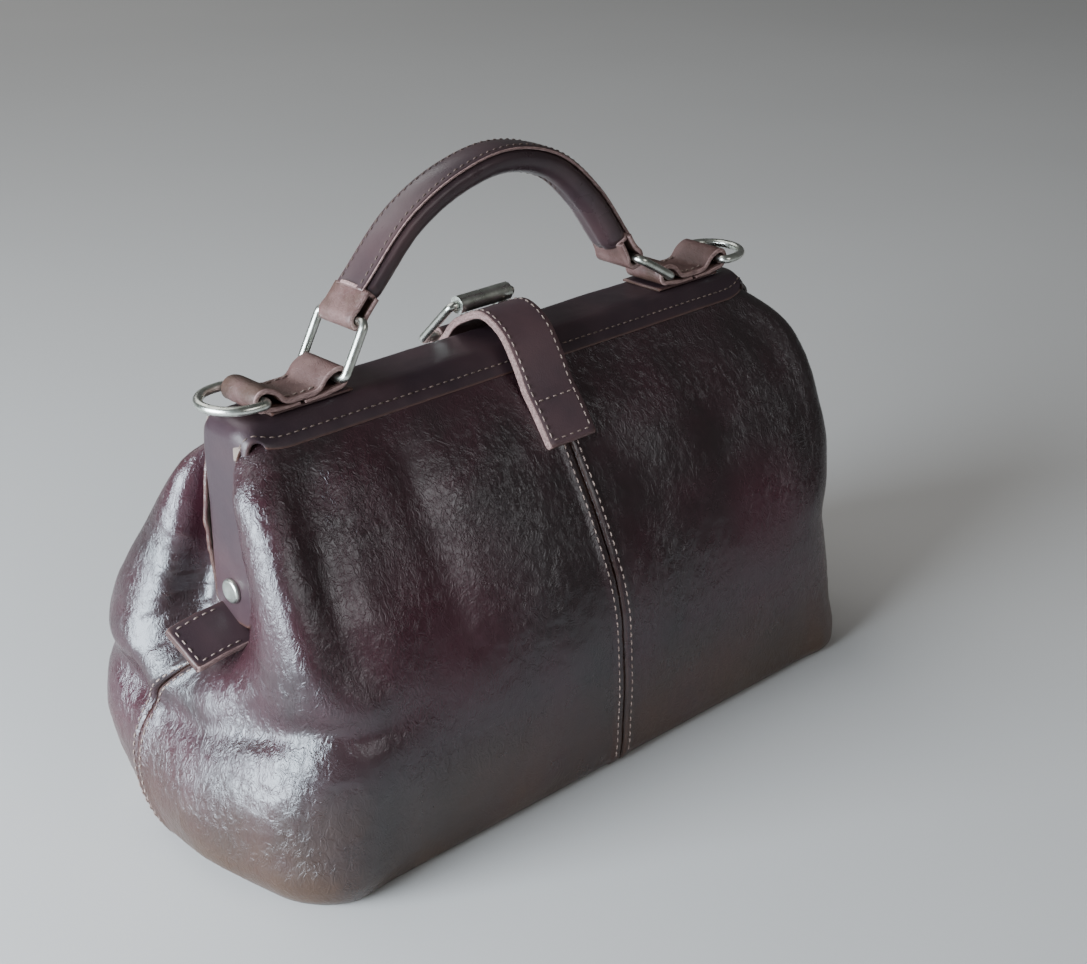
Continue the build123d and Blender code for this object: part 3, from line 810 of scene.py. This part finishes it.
# ---- frame cover
COVER_CORNER = 9.0                # radius of the bend from the top plate into the end strips
STRIP_LOW = 113.5
# Across the top plate from its rear edge to the front flap: Y and depth below the top.
TOP_SECTION = [(15.2, 8.5), (15.2, 4.5), (14.6, 1.8), (13.0, 0.5), (10.0, 0.05), (5, 0), (0, 0), (-5, 0),
               (-10.0, 0.1), (-13.2, 0.6), (-15.6, 1.9), (-17.4, 3.7), (-19.4, 5.8), (-21.6, 8.1),
               (-23.2, 10.2), (-24.3, 12.0)]
STRIP_SECTION = [(14.0, 2.4), (14.9, 1.7), (15.0, 0.9), (14.3, 0.25), (10, 0), (5, 0), (0, 0), (-5, 0),
                 (-10, 0), (-12.6, 0.1), (-14.0, 0.3), (-14.8, 0.8), (-15.2, 1.5), (-15.1, 2.2),
                 (-14.4, 2.8)]
COVER_STITCH = (-21.0, -12.6)     # Y of the stitches on the front flap and on the end strips
STITCH_LOW = 168                  # how far they run down the strips


def strip_share(line):
    """0 along the top plate, 1 down the end strips, smooth round the corners."""
    along = np.abs(line[:, 0]) + TOP_Z - line[:, 1]
    return smooth(COVER_X - 22, COVER_X + 20, along)


def cover_grid(step=1.6, columns=44):
    corner = COVER_CORNER
    half = COVER_X - corner
    turn = np.linspace(0, math.pi / 2, 9)[1:-1]
    right = [(half + corner * math.sin(a), TOP_Z - corner + corner * math.cos(a)) for a in turn]
    right = [(half, TOP_Z)] + right + [(COVER_X, TOP_Z - corner), (COVER_X, STRIP_LOW)]
    line = [(-x, z) for x, z in right[::-1]] + right
    line = resample(np.array(line), step)
    tangent = np.gradient(line, axis=0)
    tangent /= np.linalg.norm(tangent, axis=1)[:, None]
    outward = np.stack([-tangent[:, 1], tangent[:, 0]], axis=1)
    share = np.linspace(0, 1, columns)
    top = resample(np.array(TOP_SECTION), count=columns)
    strip = resample(np.array(STRIP_SECTION), count=columns)
    strip_weight = strip_share(line)
    low_end = smooth(STRIP_LOW + 12, STRIP_LOW, line[:, 1])
    noise = Noise(5)
    grid = np.zeros((len(line), columns, 3))
    for i, (x, z) in enumerate(line):
        w = strip_weight[i]
        section = top * (1 - w) + strip * w
        y = section[:, 0] * (1 - 0.28 * low_end[i] ** 2)     # the strip narrows towards the rivet
        y = y - 2.6 * w * smooth(178, 203, z) * smooth(-8, -15, section[:, 0])
        depth = section[:, 1]
        grid[i, :, 0] = x - outward[i, 0] * depth
        grid[i, :, 1] = y
        grid[i, :, 2] = z - outward[i, 1] * depth
    sway = 0.28 * noise(grid / 35.0) + 0.08 * noise(grid / 8.0)
    normal = grid_normals(grid)
    normal *= np.sign(normal[len(line) // 2, columns // 2, 2])
    return grid + normal * sway[..., None] * smooth(0, 0.12, share * (1 - share) * 4)[None, :, None]


def build_cover():
    grid = cover_grid()
    if grid_normals(grid)[len(grid) // 2, 20, 2] < 0:
        grid = grid[:, ::-1]
    fasten(shell("frame_cover", grid, 1.5, [SMOOTH] * 3), "leather", "front_frame", "front_frame_cover")
    middle = grid[:, grid.shape[1] // 2]
    share = strip_share(np.stack([middle[:, 0], np.minimum(middle[:, 2] + 0.6, TOP_Z)], axis=1))
    rows = [i for i in range(len(grid)) if middle[i, 2] > STITCH_LOW]
    target = COVER_STITCH[0] * (1 - share) + COVER_STITCH[1] * share
    columns = np.array([float(np.argmin(np.abs(grid[i, :, 1] - target[i]))) for i in rows])
    smoothing = np.hanning(9)
    columns = np.convolve(np.pad(columns, 4, mode="edge"), smoothing / smoothing.sum(), mode="valid")
    line, normals = on_grid(grid, np.array(rows, float), columns)
    even_normals = resample(line, 1.2, values=normals)
    obj = stitches("cover_stitches", resample(line, 1.2), even_normals, SEAM_THREAD)
    fasten(obj, "leather", "front_frame")


def build_rear_cover():
    low, high = span("rear_frame_cover")
    path = resample(np.array([(low[0] + 0.5, 14.2, 205.5), (high[0] - 0.5, 14.2, 205.5)]), 3.0)
    section = [(0.5, 5.2), (0.7, 0), (0.6, -5.8), (-0.6, -6.2), (-1.4, -5.6), (-1.7, -3.5), (-1.5, 0),
               (-1.6, 3.0), (-1.2, 5.2), (-0.4, 5.6)]
    obj = sweep("rear_frame_welt", path, (0, -1, 0), section, [SMOOTH])
    fasten(obj, "leather", "rear_frame", "rear_frame_cover")


# ---- closing strap
STRAP_HALF = 16.0
STRAP_T = 4.0
STRAP_STEP = 1.2
STRAP_POINTS = [(-53.6, 171.9), (-47.3, 181.2), (-39.2, 192.2), (-37.5, 194.3), (-28.5, 210.0),
                (-17.5, 224.0), (-4.0, 229.3), (8.0, 225.0), (17.6, 219.0), (24.6, 210.4), (33.0, 201.4),
                (44.1, 190.2), (55.0, 175.5)]


def blend_strap(obj):
    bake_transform(obj)


def build_strap():
    path = spline([(0, y, z) for y, z in STRAP_POINTS], STRAP_STEP)
    outline, kinds = leather_section(STRAP_HALF, STRAP_T, 0.15)
    sections = []
    for i in range(len(path)):
        end = min(i, len(path) - 1 - i)
        narrow = 1 - 0.05 * max(0, 1 - end / 2.0) ** 2
        sections.append(outline * np.array([narrow, 1 - 0.25 * max(0, 1 - end)]))
    across = (-1, 0, 0)
    obj = sweep("closing_strap", path, across, np.array(sections), [STRAP_LEATHER_PAINTED_LIGHT, EDGE, RAW], kinds)
    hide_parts("strap_anchor", "closure_strap")
    blend_strap(obj)
    length = len(path) * STRAP_STEP
    tail = 1 - 5.0 / length
    top = STRAP_T / 2
    rows = (("left", row_on(path, across, 13.0, top, 4.0 / length, tail)),
            ("right", row_on(path, across, -13.0, top, 4.0 / length, tail)),
            ("low_end", row_across(path, across, 4.2 / length, 13.0, top)),
            ("cross", row_across(path, across, 24.5 / length, 12.0, top + 0.1)),
            ("tail_end", row_across(path, across, tail, 12.5, top)))
    for name, (line, normals) in rows:
        blend_strap(stitches(f"strap_{name}_stitches", line, normals, THREAD))


def band(name, path, half, thickness, materials, across=(0, 1, 0)):
    """Single leather band with pale cut edges, along a path."""
    t = thickness / 2
    top = [(a, t) for a in np.linspace(half - 0.6, 0.6 - half, 7)]
    left = [(-half + 0.1, t - 0.35), (-half, 0.0), (-half + 0.1, 0.35 - t)]
    bottom = [(a, -t) for a in np.linspace(0.6 - half, half - 0.6, 5)]
    right = [(-a, b) for a, b in left[::-1]]
    outline = top + left + bottom + right
    kinds = [0] * 7 + [1] * 3 + [2] * 4 + [1] * 4
    return sweep(name, path, across, outline, materials, kinds)


def arc(centre, radius, start, stop, count=14):
    """Points on an arc in (first, second) coordinates, angles in degrees."""
    turn = np.radians(np.linspace(start, stop, count))
    return [(centre[0] + radius * math.cos(a), centre[1] + radius * math.sin(a)) for a in turn]


def heading(degrees):
    """Direction at an angle in a plane, and the direction square to it."""
    d = np.array([math.cos(math.radians(degrees)), math.sin(math.radians(degrees))])
    return d, np.array([-d[1], d[0]])


BUCKLE_BAR = (36.6, 207.2)
CHAPE_RADIUS = 3.2
CHAPE_SLOPE = -50.5               # lies along the strap's rear part


def build_chape():
    """Loop that holds the buckle's far bar, in (Y, Z)."""
    bar, r = np.array(BUCKLE_BAR), CHAPE_RADIUS
    d, n = heading(CHAPE_SLOPE)
    low = [bar + d * 18 - n * 2.6, bar + d * 8 - n * 3.0, bar - n * r]
    over = [np.array(p) for p in arc(bar, r, CHAPE_SLOPE - 90, CHAPE_SLOPE - 270, 12)[1:-1]]
    back = [bar + n * r, bar + d * 6 + n * 1.4, bar + d * 13 - n * 0.4]
    points = [(0, p[0], p[1]) for p in low + over + back]
    obj = band("buckle_keeper", spline(points, 0.8), 10.0, 1.7, [SMOOTH, EDGE, RAW], (-1, 0, 0))
    fasten(obj, "leather", "strap", "buckle_chape")


# ---- tongues under the rivets
TONGUE_TILT = 30.0                # the rear edge stands higher than the front edge
TONGUE_HALF = 13.2
TONGUE_STITCH = 10.3
TONGUE_ROOT = (166.5, 112.8)      # X and Z
TONGUE_REACH = (33.5, -0.5, -3.3)


def build_tongues():
    for side_name, side in SIDES:
        mirror = np.array([side, 1, 1])
        root = np.array([TONGUE_ROOT[0], 0, TONGUE_ROOT[1]]) * mirror
        tip = root + np.array(TONGUE_REACH) * mirror
        path = resample(np.array([root, (root + tip) / 2 + np.array([0, 0, 0.8]), tip]), 1.4)
        across = np.array([0, *heading(TONGUE_TILT)[0]]) * side
        outline, kinds = leather_section(TONGUE_HALF, 4.0, 0.2, 0.5)
        sections = []
        for i in range(len(path)):
            end = len(path) - 1 - i
            sections.append(outline * np.array([1 - 0.06 * max(0, 1 - end / 2.0) ** 2, 1.0]))
        name = f"{side_name}_strip_tongue"
        obj = sweep(name, path, across, np.array(sections), [SMOOTH, EDGE, SMOOTH], kinds)
        fasten(obj, "leather", "front_frame", f"{side_name}_end_tongue")
        rows = (("near", row_on(path, across, -TONGUE_STITCH * side, 2.05, 0.2, 0.9)),
                ("far", row_on(path, across, TONGUE_STITCH * side, 2.05, 0.2, 0.9)),
                ("tip", row_across(path, across, 0.9, 10.0, 2.1)))
        for name, (line, normals) in rows:
            obj = stitches(f"{side_name}_tongue_{name}_stitches", line, normals, THREAD)
            fasten(obj, "leather", "front_frame")


# ---- handle tabs, loops and grip
LOOP_HALF = 13.3                  # half width of the tabs
TAB_LOOP = 4.5                    # from a ring's bar to the middle of the leather round it


def xz(points):
    return [(x, 0, z) for x, z in points]


def build_tabs():
    inner, outer = abs(LEFT_TAB_RING[0]), DRING_X
    middle, z = (inner + outer) / 2, LOOP_Z
    low = z - TAB_LOOP - 0.5
    points = [(middle - 1, 217.55), (middle - 10, 217.9), (inner + 4, low)]
    points += arc((inner, z), TAB_LOOP, 270, 90)
    points += [(inner + 6.5, z + 2.2), (inner + 11.5, 221.3), (middle, 220.4), (outer - 11.5, 221.3),
               (outer - 6.5, z + 2.2)]
    points += arc((outer, z), TAB_LOOP, 90, -90)
    points += [(outer - 4, low), (middle + 10, 217.9), (middle + 1.5, 217.55)]
    for side_name, side in SIDES:
        path = spline(xz([(x * side, h) for x, h in points]), 1.0)
        if side > 0:
            path = path[::-1]
        obj = band(f"{side_name}_handle_tab_leather", path, LOOP_HALF, 2.7, [RAW, EDGE, RAW])
        fasten(obj, "raw_leather", "front_frame", f"{side_name}_handle_tab")
        base = resample(np.array(xz([(side * (inner - 7), 216.8), (side * (outer - 3), 216.8)])), 2.0)
        base = base if side > 0 else base[::-1]
        obj = band(f"{side_name}_tab_base", base, LOOP_HALF + 0.4, 1.3, [SMOOTH, SMOOTH, RAW])
        fasten(obj, "leather", "front_frame")
        for row, y in (("near", -10.4), ("far", 10.4)):
            along = np.linspace(middle - 9, middle + 9, 12)
            line = np.array([(side * x, y, 221.75 + 0.011 * (x - middle) ** 2) for x in along])
            up = np.tile([0, 0, 1.0], (len(line), 1))
            obj = stitches(f"{side_name}_tab_{row}_stitches", line, up, THREAD)
            fasten(obj, "leather", "front_frame")


RING_REACH = 28.0                 # between the two bars of a handle ring
RIGHT_RING_LEAN = 149.0


def handle_ends():
    """(X, Z) of the ring bar, rise angle and hole radius at the handle's two ends, left first."""
    left = np.array([HANDLE_LEFT[0], HANDLE_LEFT[2]])
    ring = np.array([RIGHT_TAB_RING[0], RIGHT_TAB_RING[2]])
    right = ring + RING_REACH * heading(RIGHT_RING_LEAN)[0]
    return (left, 47.0, 2.55), (right, 122.0, 3.5)


GRIP_FROM_BAR = 12.0
GRIP_HALF = 11.0
STRIP_HALF = 9.8                  # the strip sewn on top of the roll
HANDLE_STITCH = 7.3
UNDER_STITCH = 1.6
ALONG_Y = (0, 1, 0)


def grip_points():
    (left, left_rise, _), (right, right_rise, _) = handle_ends()
    start = left + GRIP_FROM_BAR * heading(left_rise)[0]
    end = right + GRIP_FROM_BAR * heading(right_rise)[0]
    middle = [(-56.0, 288.0), (-28.0, 301.0), (2.0, 306.0), (32.0, 298.5), (59.0, 276.5)]
    return spline(xz([tuple(start)] + middle + [tuple(end)]), 1.0)


def build_handle():
    path = grip_points()
    share = np.linspace(0, 1, len(path))
    turn = np.linspace(0, 2 * math.pi, 40, endpoint=False)
    noise = Noise(21)
    sections = []
    for t in share:
        end = min(t, 1 - t)
        fat = 1 + 0.10 * float(smooth(0.32, 0.06, end))
        narrow = 1 - 0.12 * float(smooth(0.025, 0.0, end))
        outline = []
        for a in turn:
            x, y = math.cos(a), math.sin(a)
            wide = GRIP_HALF * math.copysign(abs(x) ** 0.9, x)
            high = (5.4 if y > 0 else 8.4 * fat) * math.copysign(abs(y) ** 0.9, y)
            groove = 0.9 * math.exp(-((a - 1.5 * math.pi) / 0.07) ** 2)
            outline.append((wide * narrow, (high + groove) * narrow))
        sections.append(outline)
    along, round_grip = np.meshgrid(share * 30, turn * 1.2, indexing="ij")
    wobble = noise(np.stack([along, round_grip, np.zeros_like(along)], -1))
    sections = np.array(sections) * (1 + 0.012 * wobble[..., None])
    obj = sweep("handle_roll", path, ALONG_Y, sections, [HANDLE_LEATHER])
    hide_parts("handle_grip")
    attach(obj, "handle")
    _, _, top = frames_along(path, ALONG_Y)
    outline, kinds = leather_section(STRIP_HALF, 1.7, 1.0, 0.1)
    strip_path = path + top * 5.0
    obj = sweep("handle_strip", strip_path, ALONG_Y, outline, [HANDLE_LEATHER, EDGE, RAW], kinds)
    fasten(obj, "leather", "handle")
    strip_top = 0.85 + 1 - (HANDLE_STITCH / STRIP_HALF) ** 2
    rows = []
    for name, facing in (("near", -1), ("far", 1)):
        rows.append((name, row_on(strip_path, ALONG_Y, facing * HANDLE_STITCH, strip_top, 0.01, 0.99)))
    for name, facing in (("near", -1), ("far", 1)):
        line, normals = row_on(path, ALONG_Y, facing * UNDER_STITCH, -8.0, 0.05, 0.95)
        rows.append((f"under_{name}", (line, -normals)))
    for name, (line, normals) in rows:
        obj = stitches(f"handle_{name}_stitches", line, normals, SEAM_THREAD, 4.2, 2.7, 0.36)
        fasten(obj, "leather", "handle")


def build_handle_loops():
    for (side_name, _), (bar, rise, hole) in zip(SIDES, handle_ends()):
        d, n = heading(rise)
        r = hole + 1.35
        up = [bar + d * 13.5 + n * 3.4, bar + d * 8 + n * 3.3, bar + d * 3.5 + n * (r + 2.9) / 2]
        round_bar = [np.array(p) for p in arc(bar, r, rise + 90, rise + 270, 16)]
        down = [bar + d * 3.5 - n * (r + 2.9) / 2, bar + d * 8 - n * 3.3, bar + d * 13.5 - n * 3.4]
        path = spline(xz([tuple(p) for p in up + round_bar + down]), 0.9)
        obj = band(f"{side_name}_loop_leather", path[::-1], LOOP_HALF - 1.0, 2.6, [RAW, EDGE, RAW])
        fasten(obj, "raw_leather", "handle", f"{side_name}_handle_loop")
        collar_at = bar + d * 12.6
        collar = resample(np.array(xz([tuple(collar_at), tuple(collar_at + d * 1.6)])), 0.4)
        turn = np.linspace(0, 2 * math.pi, 32, endpoint=False)
        outline = np.stack([11.2 * np.cos(turn), 7.6 * np.sin(turn)], axis=1)
        fasten(sweep(f"{side_name}_grip_end", collar, ALONG_Y, outline, [EDGE]), "raw_leather", "handle")


# ---- inside and underside
LINING_TOP = 108.0
LINING_HALF = 184.0               # most that the lining reaches to each side


def full_outline(z, inset, per_side=70):
    """Closed line round the body at a height, drawn in from the outline."""
    depth = float(curve(z, HALF_DEPTH))
    r = min(float(curve(z, CORNER)) + 8, depth - 2)
    half = min(float(curve(z, RIGHT)) - 2, LINING_HALF, float(curve(z, END_RIGHT)) + 3.5)
    turn = np.linspace(0, math.pi / 2, per_side // 3)
    corner = [(half - r + r * math.sin(t), -(depth - r + r * math.cos(t))) for t in turn]
    quarter = np.array([(0, -depth)] + corner + [(half, 0)])
    quarter = resample(quarter, count=per_side)
    quarter = quarter * (1 - inset / np.maximum(np.linalg.norm(quarter, axis=1), 1))[:, None]
    quarter = np.column_stack([quarter, np.full(len(quarter), z)])
    right_rear = quarter[::-1][1:] * np.array([1, -1, 1])
    left_rear = quarter[1:] * np.array([-1, -1, 1])
    left_front = quarter[::-1][1:-1] * np.array([-1, 1, 1])
    return np.concatenate([quarter, right_rear, left_rear, left_front])


def flat_ring(inset, share, z):
    """The body's lowest outline, drawn in and scaled, at a height."""
    return full_outline(0.0, inset) * np.array([share, share, 0]) + np.array([0, 0, z])


FLOOR_SHARES = (0.12, 0.3, 0.5, 0.7, 0.85, 0.95)


def build_lining():
    noise = Noise(31)
    rows = [flat_ring(6.0, share, 7.6) for share in FLOOR_SHARES]
    for z in (8.5, 11, 15, 22, 30, 40, 50, 60, 70, 80, 88, 96, 102, 106, LINING_TOP):
        rows.append(full_outline(z, 6.5 + 0.8 * (z > 100)))
    grid = np.stack(rows)
    soft = noise.layers(grid / 30.0, 2) * 0.8
    out = grid * np.array([1, 1, 0])
    out /= np.maximum(np.linalg.norm(out, axis=-1, keepdims=True), 1)
    grid = grid - out * np.abs(soft)[..., None]
    count, columns = grid.shape[:2]
    outer = grid.reshape(-1, 3)
    inner = (grid - out * 1.1).reshape(-1, 3)
    inner[: len(FLOOR_SHARES) * columns, 2] += 1.0
    faces = quads(count, columns, wrap_columns=True)
    total = count * columns
    back = [tuple(v + total for v in f[::-1]) for f in faces]
    rim = []
    for j in range(columns):
        k = (j + 1) % columns
        a, b = (count - 1) * columns + j, (count - 1) * columns + k
        rim.append((b, a, a + total, b + total))
    caps = [tuple(range(columns)), tuple(total + j for j in range(columns))[::-1]]
    faces = [f[::-1] for f in faces + back + rim + caps]
    obj = add_mesh("twill_lining", np.concatenate([outer, inner]), faces, [TWILL])
    fasten(obj, "lining", "root", "lining")


def build_base():
    rings = ((0.1, 2.8), (0.9, 2.8), (0.99, 2.8), (1.0, 1.6), (0.995, 0.5), (0.97, 0.2), (0.9, 0.15),
             (0.7, 0.12), (0.4, 0.12), (0.1, 0.12))
    grid = np.stack([flat_ring(9.0, share, z) for share, z in rings])[::-1]
    count, columns = grid.shape[:2]
    faces = [f[::-1] for f in quads(count, columns, wrap_columns=True)]
    faces += [tuple(range(columns))[::-1], tuple((count - 1) * columns + j for j in range(columns))]
    obj = add_mesh("base_leather", grid.reshape(-1, 3), faces, [LEATHER])
    fasten(obj, "leather", "root", "base_panel")


PLEAT_X = 162.6
PAN_X = 158.8
PAN_RADIUS = 46.5


def build_gussets():
    """Folded end leather behind each strip, in two halves that meet over the pivot, and the pan that
    carries the rivet."""
    for side_name, side in SIDES:
        for facing_name, facing in FACINGS:
            radii = np.linspace(4, 84, 36)
            share = np.linspace(0, 1, 26)
            grid = np.zeros((len(radii), len(share), 3))
            for i, r in enumerate(radii):
                for j, t in enumerate(share):
                    reach = r * (1 - 0.16 * (1 - t) ** 1.5)
                    y = facing * t * min(13.0, 3 + 0.3 * r)
                    depth = (0.9 + 0.35 * math.sin(6 * math.pi * t)) * math.sin(math.pi * t)
                    x = PLEAT_X - depth - 0.8 * (1 - t)
                    grid[i, j] = (side * x, y, PIVOT_Z + math.sqrt(max(reach ** 2 - y ** 2, 0)))
            if side * facing > 0:
                grid = grid[:, ::-1]
            obj = shell(f"{side_name}_{facing_name}_pleat", grid, 1.2, [LEATHER, TWILL, LEATHER])
            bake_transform(obj)
        obj = shell(f"{side_name}_end_pan", gusset_pan(side), LEATHER_T, [LEATHER, TWILL, EDGE])
        fasten(obj, "leather", "root", f"{side_name}_gusset")


def gusset_pan(side):
    """Round leather pan that carries the rivet, dished outwards towards its lower rim."""
    radii = np.linspace(3.2, PAN_RADIUS, 20)
    turn = np.linspace(0, 2 * math.pi, 73)
    grid = np.zeros((len(radii), len(turn), 3))
    for i, r in enumerate(radii):
        for j, a in enumerate(turn):
            lift = 3.5 * smooth(30, 46, r) * (0.5 - 0.5 * math.sin(a))
            lift += 0.25 * math.sin(9 * a) * smooth(12, 40, r)
            grid[i, j] = (side * (PAN_X + lift), r * math.cos(a), PIVOT_Z + r * math.sin(a))
    if grid_normals(grid)[10, 10, 0] * side < 0:
        grid = grid[:, ::-1]
    return grid


# ---- stage, light, camera
FLOOR_HALF = 6000
# Name, place, target, size in metres, watts and colour of each soft light.
LIGHTS = (("window", (-1.50, 0.10, 0.48), (0, 0, 0.08), (1.15, 0.95), 100, (0.84, 0.92, 1.0)),
          ("top", (-0.5, 0.7, 1.8), (0, 0, 0.1), (1.5, 1.2), 10, (1.0, 0.99, 0.97)),
          ("front_fill", (0.35, -2.2, 1.3), (0, 0, 0.1), (1.4, 0.9), 12, (1.0, 0.96, 0.93)),
          ("backdrop", (0.2, 3.9, 2.6), (0.3, 3.2, 0), (3.2, 2.2), 45, (1.0, 0.99, 0.97)))
WORLD_LIGHT = 0.27


def build_stage():
    n = Nodes("floor_paint")
    color = n.mix(n.noise(1.5, 3.0), rgb(0.50, 0.50, 0.495), rgb(0.56, 0.56, 0.555))
    n.set(Base_Color=color, Roughness=0.7)
    h = FLOOR_HALF
    verts = [(-h, -h, 0), (h, -h, 0), (h, h, 0), (-h, h, 0)]
    add_mesh("floor", verts, [(0, 1, 2, 3)], [n.material], flat=True)


def area_light(name, place, target, size, power, color):
    data = bpy.data.lights.new(name, "AREA")
    data.shape = "RECTANGLE"
    data.size, data.size_y = size
    data.energy = power
    data.color = color
    obj = bpy.data.objects.new(name, data)
    obj.location = place
    obj.rotation_euler = (Vector(target) - Vector(place)).to_track_quat("-Z", "Y").to_euler()
    bpy.context.scene.collection.objects.link(obj)


def build_lights():
    for light in LIGHTS:
        area_light(*light)
    world = bpy.data.worlds.new("studio")
    world.use_nodes = True
    background = world.node_tree.nodes["Background"]
    background.inputs["Color"].default_value = rgb(0.36, 0.36, 0.355)
    background.inputs["Strength"].default_value = WORLD_LIGHT
    bpy.context.scene.world = world


CAMERA_AZIMUTH = -42.97
CAMERA_ELEVATION = 24.21
CAMERA_ROLL = -0.555
CAMERA_DISTANCE = 0.9566
CAMERA_LENS = 60.28
CAMERA_SHIFT = (0.0220, 0.0002)   # how far the aim is right of and above the bag's middle, in metres
CAMERA_AIM_Z = 0.132


def build_camera():
    azimuth = math.radians(CAMERA_AZIMUTH)
    elevation = math.radians(CAMERA_ELEVATION)
    roll = math.radians(CAMERA_ROLL)
    right = Vector((math.cos(azimuth), math.sin(azimuth), 0))
    back = Vector((math.sin(azimuth) * math.cos(elevation), -math.cos(azimuth) * math.cos(elevation),
                   math.sin(elevation)))
    up = back.cross(right)
    aim = Vector((0, 0, CAMERA_AIM_Z)) + right * CAMERA_SHIFT[0] + up * CAMERA_SHIFT[1]
    place = aim + back * CAMERA_DISTANCE
    rolled_right = right * math.cos(roll) + up * math.sin(roll)
    rolled_up = up * math.cos(roll) - right * math.sin(roll)
    data = bpy.data.cameras.new("camera")
    data.lens = CAMERA_LENS
    data.sensor_width = 36
    data.sensor_fit = "HORIZONTAL"
    camera = bpy.data.objects.new("camera", data)
    axes = Matrix((rolled_right, rolled_up, back)).transposed()
    camera.matrix_world = Matrix.Translation(place) @ axes.to_4x4()
    bpy.context.scene.collection.objects.link(camera)
    bpy.context.scene.camera = camera


dress_cad()
build_panels()
build_seams()
build_cover()
build_rear_cover()
build_strap()
build_chape()
build_tongues()
build_tabs()
build_handle()
build_handle_loops()
build_lining()
build_base()
build_gussets()
build_stage()
build_lights()
build_camera()
